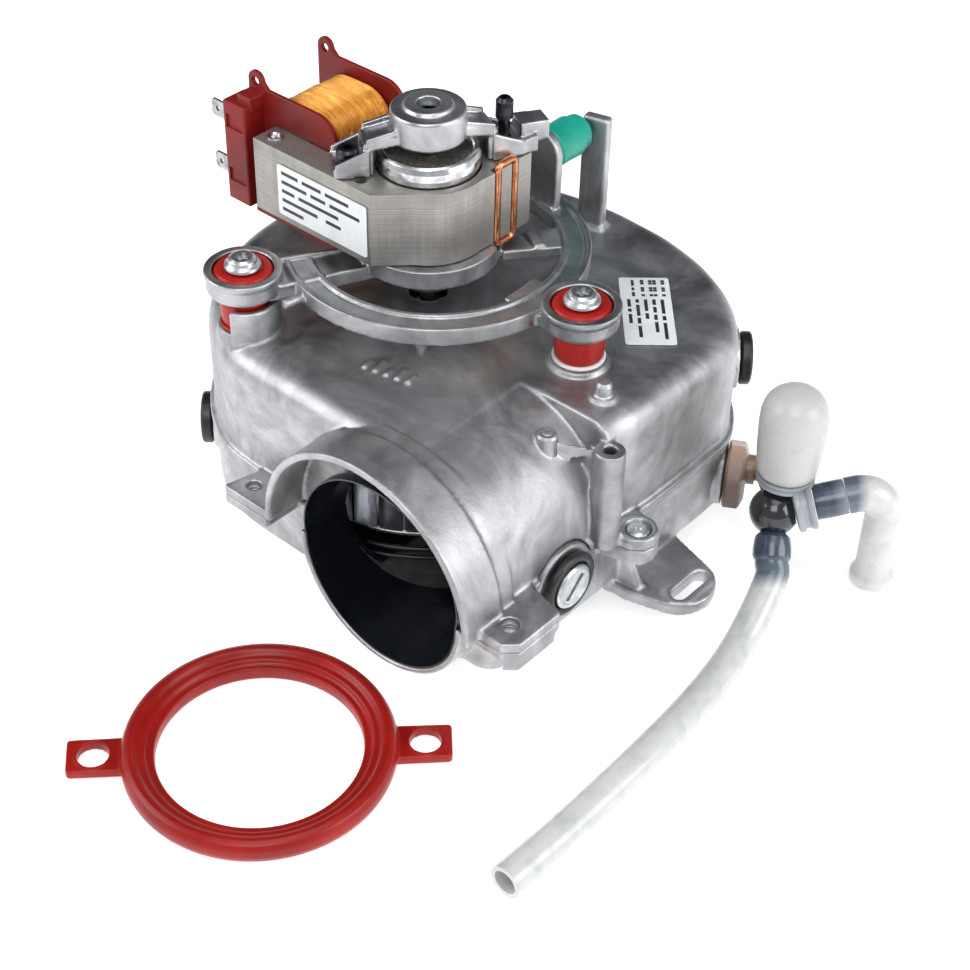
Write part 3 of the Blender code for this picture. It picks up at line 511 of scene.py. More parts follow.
def milky(name, a, b, trans=0.35, rough=(0.22, 0.36), sss=0.3):
    N = Nodes(name)
    n1 = N.noise(45.0, 4.0, 0.5)
    n2 = N.noise(500.0, 3.0, 0.6)
    N.set(Base_Color=N.ramp(n1, [(0.35, b), (0.65, a)]), Roughness=N.span(n1, 0.3, 0.7, rough[0], rough[1]),
          Normal=N.bump(n2, 0.05, 0.2), Transmission_Weight=trans, IOR=1.42,
          Subsurface_Weight=sss, Subsurface_Radius=(0.006, 0.006, 0.006), Subsurface_Scale=1.0)
    return N.m


CAST = casting("cast_aluminium", 0.70, 0.47, rough=(0.38, 0.56), grain=0.24)
CAST_B = casting("cast_bracket", 0.62, 0.46, rough=(0.33, 0.48), grain=0.20)
CAST_C = casting("cast_bridge", 0.74, 0.50, rough=(0.27, 0.44), grain=0.18)
ZINC = metal("zinc_plate", (0.66, 0.68, 0.69), (0.48, 0.50, 0.52), (0.24, 0.36), 300.0, bump_=0.04)
TIN = metal("tinned_blade", (0.46, 0.47, 0.49), (0.26, 0.27, 0.29), (0.24, 0.42), 420.0, bump_=0.25)
BLADE = metal("impeller_sheet", (0.88, 0.89, 0.91), (0.60, 0.61, 0.64), (0.16, 0.32), 200.0, brushed=(1, 1, 0.12))
SPUN = metal("end_ring_metal", (0.78, 0.79, 0.80), (0.46, 0.47, 0.49), (0.16, 0.30), 260.0)
DARK = metal("black_steel", (0.07, 0.07, 0.075), (0.03, 0.03, 0.035), (0.22, 0.4), 300.0)
COPPER = metal("copper_wire", (0.86, 0.36, 0.17), (0.50, 0.16, 0.06), (0.14, 0.34), 160.0)
BLACK = moulded("black_plastic", (0.016, 0.017, 0.02), (0.008, 0.009, 0.011), (0.10, 0.24), 50.0, 0.05, 500.0, coat=0.5)
BORE = moulded("bore_black", (0.006, 0.008, 0.012), (0.003, 0.004, 0.006), (0.16, 0.34), 38.0, 0.12, 160.0)
BLACKR = moulded("black_rubber", (0.014, 0.014, 0.015), (0.008, 0.008, 0.009), (0.28, 0.45), 50.0, 0.10)
RED = moulded("red_bush_rubber", (0.40, 0.010, 0.006), (0.29, 0.007, 0.004), (0.32, 0.44), 60.0, 0.06)
REDM = moulded("red_bobbin", (0.21, 0.008, 0.006), (0.13, 0.005, 0.004), (0.36, 0.50), 55.0, 0.10)
SILI = moulded("red_silicone", (0.33, 0.008, 0.005), (0.22, 0.005, 0.003), (0.27, 0.38), 40.0, 0.06, 450.0)
TEAL = moulded("teal_rubber", (0.006, 0.36, 0.26), (0.004, 0.25, 0.18), (0.30, 0.46), 50.0, 0.08)
PAPER = moulded("label_paper", (0.82, 0.84, 0.86), (0.74, 0.76, 0.79), (0.35, 0.5), 90.0, 0.03)
INK = moulded("label_ink", (0.035, 0.036, 0.04), (0.02, 0.02, 0.022), (0.4, 0.55), 200.0, 0.02)
BROWN = moulded("brown_fitting", (0.30, 0.185, 0.13), (0.17, 0.10, 0.07), (0.26, 0.45), 130.0, 0.10, coat=0.2)
WHITER = moulded("white_washer", (0.83, 0.82, 0.80), (0.70, 0.69, 0.67), (0.3, 0.45), 80.0, 0.05)
MILKY = milky("milky_plastic", (0.55, 0.548, 0.53), (0.49, 0.487, 0.47), 0.0, sss=0.3)
HOSEM = milky("milky_hose", (0.62, 0.625, 0.60), (0.55, 0.555, 0.53), 0.0, sss=0.4)


def smoke_fade(name, p0, p1, near, far, rough=0.16):
    """Colour fading along the line p0 to p1: tinted plastic under a clear hose, and for the brown fitting a colour
    darker towards its bottom.
    """
    N = Nodes(name)
    a, b = at(p0), at(p1)
    d = b - a
    sep = N.t.nodes.new("ShaderNodeVectorMath")
    sep.operation = "SUBTRACT"
    sep.inputs[1].default_value = a
    N.link(N.tc.outputs["Object"], sep.inputs[0])
    dot = N.t.nodes.new("ShaderNodeVectorMath")
    dot.operation = "DOT_PRODUCT"
    dot.inputs[1].default_value = d / d.length_squared
    N.link(sep.outputs["Vector"], dot.inputs[0])
    n1 = N.noise(160.0, 4.0, 0.6)
    c = N.ramp(dot.outputs["Value"], [(0.0, near), (0.55, near), (1.0, far)])
    c = N.mix(N.span(n1, 0.42, 0.70, 0.0, 0.30), c, tuple(min(1, v * 1.8 + 0.03) for v in near))
    N.set(Base_Color=c, Roughness=N.span(n1, 0.3, 0.7, rough, rough + 0.14), Coat_Weight=0.4, Coat_Roughness=0.08,
          Normal=N.bump(n1, 0.05, 0.3))
    return N.m


# ------------------------------------------------------------ scroll outline
GAP = 0.3
Z_BOTTOM, Z_PART, Z_TOP = 14.0, 42.0, 87.0
WALL = 3.2
FRONT_Y = -74.0
DUCT_X, DUCT_Z, DUCT_R = 56.5, 42.0, 34.0
SPIGOT_R, SPIGOT_Y = 36.0, -86.0
HOOD_X, HOOD_Z, HOOD_RI, HOOD_RO, HOOD_Y = 53.5, 44.0, 43.1, 45.7, -90.0
SIDE_X = 96.5
ROUND_X, ROUND_Z, ROUND_R = 59.0, 49.0, 37.5
MOUNT_R, MOUNT_A0 = 65.8, 2.2
SCROLL = [(0, 98.5), (26, 109.6), (34, 109.2), (42, 107.2), (52, 103.0), (62, 98.2),
          (75, 92.5), (90, 88.6), (110, 84.8), (135, 81.4), (160, 79.2), (185, 77.6),
          (210, 77.2), (232, 77.6), (248, 77.6), (262, 74.8)]


def scroll_r(a):
    if a < 26:
        return min(98.5 / math.cos(math.radians(a)), 109.6)
    for (a0, v0), (a1, v1) in zip(SCROLL, SCROLL[1:]):
        if a0 <= a <= a1:
            s = (a - a0) / (a1 - a0)
            s = s * s * (3 - 2 * s) * 0.35 + s * 0.65
            return v0 + (v1 - v0) * s
    return SCROLL[-1][1]


def smoothed(pts, passes=2):
    n = len(pts)
    for _ in range(passes):
        pts = [((pts[i - 1][0] + 2 * pts[i][0] + pts[(i + 1) % n][0]) / 4, (pts[i - 1][1] + 2 * pts[i][1] + pts[(i + 1) % n][1]) / 4)
               for i in range(n)]
    return pts


curve = [polar(scroll_r(a), a) for a in range(2, 262, 2)]
for _ in range(3):
    curve = [curve[0]] + [((curve[i - 1][0] + 2 * curve[i][0] + curve[i + 1][0]) / 4,
                           (curve[i - 1][1] + 2 * curve[i][1] + curve[i + 1][1]) / 4) for i in range(1, len(curve) - 1)] + [curve[-1]]
outline = arc(SIDE_X - 9, FRONT_Y + 9, 9.0, -90, 0, 8) + [(SIDE_X, -14.0), (98.0, -6.0)] + curve + [(-6.0, FRONT_Y), (20.0, FRONT_Y)]

cavity = [polar(scroll_r(a) - WALL, a) for a in range(2, 262, 5)]
cavity += [polar(70.5, a) for a in (268, 273, 278, 283, 288)]
cavity += [polar(68.0, a) for a in (300, 307, 315, 322, 330, 342)]
cavity += [(88.0, -14.5), (93.0, -12.0), (94.8, -4.0)]

ZU, ZL = Z_PART + GAP / 2, Z_PART - GAP / 2


def rounded_body(name, z0, z1, top=0.0, low=0.0, steps=8):
    return slab(name, outline, z0, z1, r=0, top=top, low=low, steps=steps)


LEFT_LUG = fillet([(-12.5, -90), (9, -90), (9, -72), (-8, -72)], 1.2, 3)
RIGHT_LUG = fillet([(96, -84), (108, -84), (112.5, -80), (112.5, -60), (96, -56)], 1.2, 3)
EAR = fillet([(94, -22), (103, -20), (108, -19.2), (112, -16), (113, -12), (112, -8), (108, -5), (103, -4.5), (94, -3)], 2.5, 4)

# ------------------------------------------------------------- upper casing
up = rounded_body("upper_casing_skin", ZU, Z_TOP, top=9.0)
corner = [(ROUND_X, 100), (130, 100), (130, ROUND_Z)] + arc(ROUND_X, ROUND_Z, ROUND_R, 0, 90, 36)
cut(up, prism_y("t", corner, -110, -19))
hood = [(HOOD_X + HOOD_RO, ZU)] + arc(HOOD_X, HOOD_Z, HOOD_RO, 0, 180, 72) + [(HOOD_X - HOOD_RO, ZU)]
join(up, prism_y("t", hood, HOOD_Y, -73.0))
hood2 = [(HOOD_X + HOOD_RO - 1.0, ZU)] + arc(HOOD_X, HOOD_Z, HOOD_RO - 1.0, 0, 180, 72) + [(HOOD_X - HOOD_RO + 1.0, ZU)]
join(up, prism_y("t", hood2, -74.0, -66.0))
join(up, prism("t", inset(outline, -1.9), ZU, ZU + 3.0))
join(up, prism("t", LEFT_LUG, ZU, ZU + 3.6), prism("t", RIGHT_LUG, ZU, ZU + 3.6), prism("t", EAR, ZU, ZU + 3.6))
join(up, cyl("t", (106, -12, ZU), (106, -12, ZU + 4.4), 6.6))
join(up, cyl("t", (98.6, -21.1, ZU), (98.6, -21.1, 81.2), 5.4, r1=5.2))
join(up, prism("t", [(90, -23.0), (97.0, -22.2), (97.0, -18.8), (90, -16.5)], ZU, 76.5))
join(up, loft("t", [[(82, -31.5, 74), (94, -21.6, 76), (94, -20.6, 76), (82, -30.3, 74)], [(82, -31.5, 81.5), (94, -21.6, 78.6), (94, -20.6, 78.6), (82, -30.3, 81.5)]]))
for k in range(3):
    bx, by = polar(MOUNT_R, MOUNT_A0 + 120 * k)
    join(up, cyl("t", (bx, by, Z_TOP - 3), (bx, by, Z_TOP + 2.0), 10.6, r1=9.9))
lx, ly = polar(MOUNT_R, MOUNT_A0 + 240)
horse = ([(lx + 12 * math.cos(math.radians(t)), ly + 12 * math.sin(math.radians(t))) for t in range(-70, 171, 8)]
         + [(lx + 9.6 * math.cos(math.radians(t)), ly + 9.6 * math.sin(math.radians(t))) for t in range(170, -71, -8)])
join(up, prism("t", horse, Z_TOP - 2, Z_TOP + 12.5))
join(up, block("t", (10.6, 69.2, Z_TOP - 2), (20.6, 73.8, 132.0), turn=14, pivot=(15.6, 71.5), r=0.6, corner=0.8))
join(up, block("t", (9.4, 68.2, Z_TOP - 3), (21.8, 75.0, Z_TOP + 1.6), turn=14, pivot=(15.6, 71.5), r=1.2, corner=1.2))
join(up, cyl("t", (84, -7, Z_TOP - 6), (84, -7, Z_TOP + 1.0), 5.4, r1=4.6), cyl("t", (84, -7, Z_TOP - 2), (84, -7, Z_TOP + 6.0), 2.6, r1=2.3))
join(up, cyl("t", (80.5, -31, 72), (80.5, -31, 83.0), 3.7, r1=3.2), cyl("t", (80.5, -31, 72), (80.5, -31, 84.4), 1.9))
rx, ry = polar(1, 40)
join(up, cyl("t", (rx * 100, ry * 100, 61), (rx * 110.5, ry * 110.5, 61), 11.0))
# raised plain bars where the casting carries its marks
for i, (w, s) in enumerate(((5.0, 0.0), (7.0, 4.2), (4.0, 8.4), (6.5, 12.6), (5.0, 16.8))):
    join(up, block("t", (14 + s, -47, Z_TOP - 1), (14 + s + 1.5, -47 + w, Z_TOP + 1.3), turn=12, pivot=(24, -43), r=0.2, corner=0.3))
cut(up, prism("t", cavity, 30, 83.5))
cut(up, prism_y("t", arc(HOOD_X, HOOD_Z, HOOD_RI, 0, 180, 72) + [(HOOD_X - HOOD_RI, 30), (HOOD_X + HOOD_RI, 30)], -100, FRONT_Y))
cut(up, cyl("t", (DUCT_X, -110, DUCT_Z), (DUCT_X, -30, DUCT_Z), DUCT_R, segs=96))
cut(up, cyl("t", (0, 0, 70), (0, 0, 100), 7.0))
cut(up, cyl("t", (-4.5, -83, 30), (-4.5, -83, 60), 2.6), cyl("t", (104, -75, 30), (104, -75, 60), 3.2),
    cyl("t", (106, -12, 30), (106, -12, 60), 2.7), cyl("t", (106, -12, 44.6), (106, -12, 60), 4.6),
    cyl("t", (98.5, -21.0, 62), (98.5, -21.0, 90), 2.3))
cut(up, cyl("t", (85, -40.5, 37), (120, -40.5, 37), 14.3))
for k in range(3):
    bx, by = polar(MOUNT_R, MOUNT_A0 + 120 * k)
    cut(up, cyl("t", (bx, by, Z_TOP - 10), (bx, by, Z_TOP + 20), 2.4))
cast(up, 0.66, CAST, passes=3)
put(up, "fan", "cast_aluminium", "upper_casing")
put(cyl("locating_stud", (84, -7, Z_TOP - 1.0), (84, -7, Z_TOP + 6.2), mat=CAST, segs=48, prof=[(4.6, 0), (4.5, 2.0), (3.4, 2.4), (2.9, 2.9), (2.8, 5.9), (2.0, 7.2)],
         soft=0.4), "fan", "cast_aluminium")
put(cyl("ejector_pad", (80.5, -31, 75.0), (80.5, -31, 84.4), mat=CAST, segs=48, prof=[(4.2, 0), (3.7, 4.0), (3.6, 8.2), (2.9, 9.2), (1.4, 9.0), (1.2, 8.0)],
         soft=0.4), "fan", "cast_aluminium")

# ------------------------------------------------------------- lower casing
low = rounded_body("lower_casing_skin", Z_BOTTOM, ZL, low=3.0, steps=5)
half = [(DUCT_X - 37.5, ZL)] + arc(DUCT_X, DUCT_Z, 37.5, 180, 360, 72)[1:-1] + [(DUCT_X + 37.5, ZL)]
join(low, prism_y("t", half, FRONT_Y, -22))
spig = [(DUCT_X - SPIGOT_R, ZL)] + arc(DUCT_X, DUCT_Z, SPIGOT_R, 180, 360, 72)[1:-1] + [(DUCT_X + SPIGOT_R, ZL)]
join(low, prism_y("t", spig, SPIGOT_Y, FRONT_Y + 4))
join(low, prism("t", inset(outline, -1.2), ZL - 2.4, ZL))
join(low, prism("t", LEFT_LUG, ZL - 3.6, ZL), prism("t", RIGHT_LUG, ZL - 3.6, ZL), prism("t", EAR, ZL - 6.0, ZL))
join(low, prism("t", [(108.4, -83.6), (112.4, -80.2), (112.4, -62), (109.4, -62), (109.4, -80)], ZL - 7.5, ZL - 2))
tab = [(94, -13), (104, -12)] + [(113 + 13 * math.cos(math.radians(t)), 4.5 + 13.5 * math.sin(math.radians(t)))
                                 for t in range(-70, 71, 7)] + [(104, 21), (94, 24)]
join(low, prism("t", tab, 11.5, 16.2))
slot_rim = [(118 + 5.0 * math.cos(math.radians(t)), 10.5 + 5.0 * math.sin(math.radians(t))) for t in range(0, 181, 10)]
slot_rim += [(118 + 5.0 * math.cos(math.radians(t)), -1.5 + 5.0 * math.sin(math.radians(t))) for t in range(180, 361, 10)]
join(low, prism("t", slot_rim, 12.0, 17.0))
# rib from the foot up the wall
join(low, loft("t", [[(95, -10, 14), (108, -9, 14), (108, -5.5, 14), (95, -5, 14)], [(95, -9, 36), (97.5, -9, 36), (97.5, -6, 36), (95, -6, 36)]]))
join(low, cyl("t", (86, -40.5, 37), (98.2, -40.5, 37), 14.0))
px, py = polar(1, 222.7)
join(low, cyl("t", (px * 70, py * 70, 30), (px * 78.6, py * 78.6, 30), 11.0))
fx, fy = polar(1, 29.5)
join(low, cyl("t", (fx * 98, fy * 98, 24), (fx * 110.2, fy * 110.2, 24), 11.5))
cut(low, prism("t", cavity, Z_BOTTOM + 3.2, 60))
cut(low, cyl("t", (DUCT_X, -110, DUCT_Z), (DUCT_X, -30, DUCT_Z), DUCT_R, segs=96))
cut(low, cyl("t", (0, 0, -5), (0, 0, 40), 41.0, segs=96), cyl("t", (0, 0, -5), (0, 0, 13.98), 45.4, segs=96))
slot = [(118 + 2.7 * math.cos(math.radians(t)), 10.5 + 2.7 * math.sin(math.radians(t))) for t in range(0, 181, 12)]
slot += [(118 + 2.7 * math.cos(math.radians(t)), -1.5 + 2.7 * math.sin(math.radians(t))) for t in range(180, 361, 12)]
cut(low, prism("t", slot, 5, 25))
cut(low, cyl("t", (-4.5, -83, 30), (-4.5, -83, 60), 2.6), cyl("t", (104, -75, 30), (104, -75, 60), 3.2),
    cyl("t", (106, -12, 30), (106, -12, 60), 2.6))
cut(low, cyl("t", (90, -40.5, 37), (120, -40.5, 37), 9.6))
cast(low, 0.72, CAST, passes=4)
put(low, "fan", "cast_aluminium", "lower_casing")

# dark lining of the outlet bore and of the lower scroll
lin = []
bm = bmesh.new()
NT, NY = 144, 30
loops = []
for R in (33.95, 33.35):
    g = []
    for i in range(NT):
        t = 2 * math.pi * i / NT
        x = DUCT_X + R * math.cos(t)
        y0, up_ = -85.2, max(0.0, math.sin(t))
        y1 = -max(31.0, math.sqrt(max(0.0, 70.4 ** 2 - x * x)) if x < 70 else 0)
        col = []
        for j in range(NY + 1):
            y = y0 + (y1 - y0) * j / NY
            flare = R + 3.4 * up_ ** 0.7 * max(0.0, min(1.0, (-74.6 - y) / 6.0))
            col.append(bm.verts.new(at((DUCT_X + flare * math.cos(t), y, DUCT_Z + flare * math.sin(t)))))
        g.append(col)
    loops.append(g)
for i in range(NT):
    k = (i + 1) % NT
    for g, flip in ((loops[0], False), (loops[1], True)):
        for j in range(NY):
            q = (g[i][j], g[k][j], g[k][j + 1], g[i][j + 1])
            bm.faces.new(q[::-1] if flip else q)
    bm.faces.new((loops[0][i][0], loops[0][k][0], loops[1][k][0], loops[1][i][0]))
    bm.faces.new((loops[0][i][-1], loops[1][i][-1], loops[1][k][-1], loops[0][k][-1]))
put(make("bore_lining", bm, BORE), "fan", "black_plastic")

lining = prism("scroll_lining", inset(cavity, 0.25), Z_BOTTOM + 3.4, ZL - 0.3)
cut(lining, prism("t", inset(cavity, 0.95), Z_BOTTOM + 4.1, 60))
cut(lining, cyl("t", (0, 0, -5), (0, 0, 40), 41.2, segs=96), cyl("t", (DUCT_X, -110, DUCT_Z), (DUCT_X, -12, DUCT_Z), DUCT_R + 0.05, segs=96))
put(crisp(lining, BORE), "fan", "black_plastic")
for i, (r_, z_, w_) in enumerate(((62.6, 20.6, 1.1), (65.4, 19.2, 0.8))):
    put(ring("scroll_bead_%d" % i, [(r_ + w_ * math.cos(t), z_ + w_ * math.sin(t)) for t in (2 * math.pi * k / 14 for k in range(14))], BORE, segs=120, angle=180),
        "fan", "black_plastic")

# ------------------------------------------------------------- inlet nozzle
nz = [(45.0, 0.0), (45.0, 13.7), (40.6, 13.7), (40.6, 18.5), (38.2, 26.0), (36.6, 36.0), (36.2, 46.0), (34.4, 46.0),
      (34.8, 35.0), (36.4, 22.0), (39.0, 10.0), (42.0, 0.0)]
put(ring("inlet_nozzle_skin", nz, BLACK, segs=128, soft=1.2, angle=60), "fan", "black_plastic", "inlet_nozzle")

# ----------------------------------------------------------------- impeller
imp = cyl("impeller_skin", (0, 0, 79.7), (0, 0, 81.3), 60.0, segs=128, soft=0.4)
rows = []
bm = bmesh.new()
for k in range(40):
    base = 2 * math.pi * k / 40
    sa, sb = [], []
    for j in range(9):
        s = j / 8
        r = 48.0 + 11.4 * s
        a = base - 0.19 * math.sin(s * 1.45)
        wdt = (0.75 + 0.55 * math.sin(math.pi * min(1, s + 0.1))) / r
        sa.append((r * math.cos(a), r * math.sin(a)))
        sb.append((r * math.cos(a + wdt), r * math.sin(a + wdt)))
    pts = sa + sb[::-1]
    lo_ = [bm.verts.new(at((x, y, 24.6))) for x, y in pts]
    hi_ = [bm.verts.new(at((x, y, 80.3))) for x, y in pts]
    n = len(pts)
    for i in range(n):
        j = (i + 1) % n
        bm.faces.new((lo_[i], lo_[j], hi_[j], hi_[i]))
    bm.faces.new(lo_[::-1])
    bm.faces.new(hi_)
join(imp, make("t", bm))
join(imp, ring("t", [(47.5, 24.0), (60.0, 24.0), (60.0, 25.6), (47.5, 25.6)], segs=128, soft=0.4))
join(imp, cyl("t", (0, 0, 66), (0, 0, 80.8), 8.0))
cut(imp, cyl("t", (0, 0, 50), (0, 0, 95), 3.3))
put(crisp(imp, BLADE, 40), "rotor", "zinc_plate", "impeller")
put(cyl("motor_shaft_skin", (0, 0, 57.5), (0, 0, 156.5), mat=ZINC, segs=40, prof=[(2.4, 0), (3.0, 0.8), (3.0, 98.2), (2.4, 99.0)], soft=0.3),
    "rotor", "zinc_plate", "motor_shaft")

# --------------------------------------------------- rotor end ring and core
endp = [(9.0, 138.0), (17.5, 138.0), (17.9, 140.5), (17.8, 143.0), (17.1, 144.8), (16.3, 145.4), (15.4, 145.3), (14.8, 144.5), (14.4, 143.2), (9.0, 142.2)]
put(ring("rotor_end_ring_skin", endp, SPUN, segs=128, soft=0.5, angle=60), "rotor", "zinc_plate", "rotor_end_ring")
grit = Nodes("rotor_face")
gn, gv = grit.noise(700.0, 4.0, 0.7), grit.voronoi(520.0)
grit.set(Base_Color=grit.ramp(gn, [(0.35, (0.05, 0.047, 0.043)), (0.6, (0.20, 0.19, 0.17))]), Metallic=0.5,
         Roughness=grit.span(gn, 0.3, 0.7, 0.45, 0.7), Normal=grit.bump(gv, 0.6, 0.5))
disc = []
for r_, z_ in ((3.6, 142.6), (6.0, 142.9), (9.0, 142.95), (12.0, 143.1), (14.2, 143.45), (14.35, 143.2), (9.2, 142.3), (3.6, 142.0)):
    disc.append((r_, z_))
put(ring("rotor_face_ring", disc, grit.m, segs=96, soft=0.2), "rotor", "lamination_steel")

# ------------------------------------------------------------- motor bracket
RC = (1.5, 2.5)


def band(r0, r1, a0=-124, a1=128, step=3):
    n = int((a1 - a0) / step)
    return ([(RC[0] + r1 * math.cos(math.radians(a0 + (a1 - a0) * i / n)), RC[1] + r1 * math.sin(math.radians(a0 + (a1 - a0) * i / n))) for i in range(n + 1)]
            + [(RC[0] + r0 * math.cos(math.radians(a0 + (a1 - a0) * i / n)), RC[1] + r0 * math.sin(math.radians(a0 + (a1 - a0) * i / n))) for i in range(n, -1, -1)])


br = prism("motor_bracket_skin", band(43.5, 53.5), 100.5, 105.6)
join(br, prism("t", band(43.5, 45.4), 103.0, 106.8), prism("t", band(51.4, 53.5), 103.0, 106.8))
for k in range(3):
    a = MOUNT_A0 + 120 * k
    bx, by = polar(MOUNT_R, a)
    join(br, cyl("t", (bx, by, 102.6), (bx, by, 110.8), prof=[(12.2, 0), (12.8, 1.2), (12.8, 5.6), (13.4, 6.4), (13.4, 8.2)]))
    ux, uy = polar(1, a)
    w = 7.0

    def web(r0, r1, w0, w1, wi0=None, wi1=None):
        return [(ux * r0 - uy * w0, uy * r0 + ux * w0), (ux * r0 + uy * w0, uy * r0 - ux * w0),
                (ux * r1 + uy * w1, uy * r1 - ux * w1), (ux * r1 - uy * w1, uy * r1 + ux * w1)]

    if k != 0:
        join(br, prism("t", web(14, 60, w, w + 2), 101.0, 105.0))
        for sgn in (-1, 1):
            rib = [(ux * 16 - sgn * uy * 7.0, uy * 16 + sgn * ux * 7.0), (ux * 16 - sgn * uy * 5.2, uy * 16 + sgn * ux * 5.2),
                   (ux * 60 - sgn * uy * 7.2, uy * 60 + sgn * ux * 7.2), (ux * 60 - sgn * uy * 9.0, uy * 60 + sgn * ux * 9.0)]
            join(br, prism("t", rib, 102.0, 106.4))
    else:
        join(br, prism("t", web(40, 60, 8, 9), 101.0, 105.2))
plate = [polar(25.0, t) for t in range(-140, 141, 5)] + [(-25.5, 12), (-25.5, -12)]
join(br, prism("t", plate, 103.4, 110.2))
join(br, prism("t", [(10, 20), (22, 14), (37, 33), (27, 41)], 102.0, 105.4))
join(br, prism("t", [(19.5, 27.5), (28.4, 23.2), (30.2, 26.8), (21.6, 31.4)], 104.0, 106.4))
join(br, cyl("t", (0, 0, 91.0), (0, 0, 104.0), prof=[(7.0, 0), (9.8, 1.0), (11.2, 3.0), (12.4, 13.0)]))
cx, cy = polar(48.6, 310)
join(br, cyl("t", (cx, cy, 101.0), (cx, cy, 93.5), 3.4, r1=0.9))
bx, by = polar(56.2, 257)
join(br, cyl("t", (bx * 0.84, by * 0.84, 103.2), (bx * 1.04, by * 1.04, 103.2), 1.7))
BUF_A, BUF_D, BUF_N = V(10.8, 49.4, 126.0), V(0.0, 1.0, 0.0), V(1.0, 0.0, 0.0)
lug = []
for sgn in (-1, 1):
    pts = [(-7.5, 100.8), (7.5, 100.8), (7.8, 122.0)] + [(7.8 * math.cos(math.radians(t)), 126.0 + 8.4 * math.sin(math.radians(t)))
                                                  for t in range(0, 181, 10)] + [(-7.8, 122.0)]
    off = BUF_D * (-3.6 if sgn < 0 else -0.3)
    lug.append([(BUF_A.x + BUF_N.x * u + off.x, BUF_A.y + BUF_N.y * u + off.y, z) for u, z in pts])
join(br, loft("t", lug))
for k in range(3):
    bx, by = polar(MOUNT_R, MOUNT_A0 + 120 * k)
    cut(br, cyl("t", (bx, by, 104.5), (bx, by, 120), 10.5), cyl("t", (bx, by, 90), (bx, by, 120), 8.7))
cut(br, block("t", (18.4, 9.6, 106.6), (24, 22.2, 115), r=0, corner=0), block("t", (-24.5, -16.8, 106.6), (-19.9, -4.2, 115), r=0, corner=0))
cut(br, cyl("t", (0, 0, 80), (0, 0, 120), 4.2), cyl("t", (0, 0, 94.7), (0, 0, 120), 8.3))
cast(br, 0.50, CAST_B, passes=2)
put(br, "fan", "cast_aluminium", "motor_bracket")

# -------------------------------------------------------- dampers and screws
names = ("right", "rear", "left")
for k in range(3):
    bx, by = polar(MOUNT_R, MOUNT_A0 + 120 * k)
    prof = [(3.0, 90.4), (7.9, 90.4), (8.3, 91.2), (8.7, 95.5), (8.7, 99.6), (8.2, 100.8), (8.2, 104.8), (10.1, 104.8),
            (10.1, 109.6), (9.2, 110.9), (7.4, 111.0), (6.9, 110.7), (3.0, 110.7)]
    put(ring("bush_" + names[k], prof, RED, segs=72, centre=(bx, by, 0), soft=0.45), "fan", "red_rubber", "damper_bush_" + names[k])
    put(ring("bush_foot_" + names[k], [(3.0, 89.3), (8.9, 89.3), (9.1, 90.2), (8.6, 90.5), (3.0, 90.5)],
             WHITER if k == 0 else RED, segs=72, centre=(bx, by, 0), soft=0.25), "fan", "label_white" if k == 0 else "red_rubber")
    head = cyl("screw_" + names[k], (bx, by, 86.5), (bx, by, 116.4), segs=72,
               prof=[(2.0, 0), (2.0, 24.8), (6.2, 24.8), (6.4, 25.3), (6.1, 26.1), (5.0, 26.9), (4.7, 28.0), (3.6, 28.7)], soft=0.3)
    rec = []
    for z in (113.0, 118):
        rec.append([(bx + (2.2 + 0.45 * math.cos(6 * t)) * math.cos(t), by + (2.2 + 0.45 * math.cos(6 * t)) * math.sin(t), z)
                    for t in (2 * math.pi * j / 48 for j in range(48))])
    cut(head, loft("t", rec))
    put(crisp(head, ZINC, 40), "fan", "zinc_plate", "damper_screw_" + names[k])

buf = cyl("buffer", BUF_A, BUF_A + BUF_D * 17.8, mat=TEAL, segs=80,
          prof=[(5.4, 0.0), (7.0, 0.2), (7.6, 1.2), (7.45, 6.5), (7.6, 12.5), (6.7, 13.6), (6.6, 17.0), (6.0, 17.8)], soft=0.5)
put(buf, "fan", "teal_rubber", "stop_buffer")

# ------------------------------------------------------------------- stator
LAM = Nodes("lamination_stack")
lz = LAM.noise(1.0, 3.0, 0.6, vec=LAM.mapped((1.5, 1.5, 2100)))
ls = LAM.noise(1.0, 4.0, 0.6, vec=LAM.mapped((420, 420, 26)))
ln_ = LAM.noise(70.0, 5.0, 0.6)
lc = LAM.ramp(lz, [(0.34, (0.27, 0.255, 0.24)), (0.50, (0.34, 0.325, 0.305)), (0.66, (0.42, 0.405, 0.385))])
lc = LAM.mix(LAM.span(ls, 0.42, 0.68, 0.0, 0.35), lc, (0.50, 0.485, 0.45))
lc = LAM.mix(LAM.span(ln_, 0.45, 0.70, 0.0, 0.40), lc, (0.21, 0.18, 0.165))
LAM.set(Base_Color=lc, Metallic=0.8, Roughness=LAM.span(ln_, 0.3, 0.7, 0.38, 0.54), Normal=LAM.bump(lz, 0.12, 0.08, LAM.bump(ln_, 0.06, 0.3)))
stk = [(-55.0, -28.5), (0.3, -28.5), (9.5, -19.2)] + [polar(21.0, t) for t in range(-60, 11, 3)] + [(21.0, 6.0), (21.0, 28.5), (-55.0, 28.5)]
st = slab("stator_stack_skin", stk, 110.5, 138.0, r=0.25, steps=2)
cut(st, cyl("t", (0, 0, 100), (0, 0, 150), 18.0, segs=96))
cut(st, prism("t", [(-60, -18), (-23, -18), (-23, 18), (-60, 18)], 100, 150))
for y in (11.6, 20.2):
    cut(st, prism("t", [(18.6, y - 1.7), (30, y - 1.7), (30, y + 1.7), (18.6, y + 1.7)], 100, 150))
for y in (-14.6, -6.4):
    cut(st, prism("t", [(-30, y - 1.7), (-20.4, y - 1.7), (-20.4, y + 1.7), (-30, y + 1.7)], 100, 150))
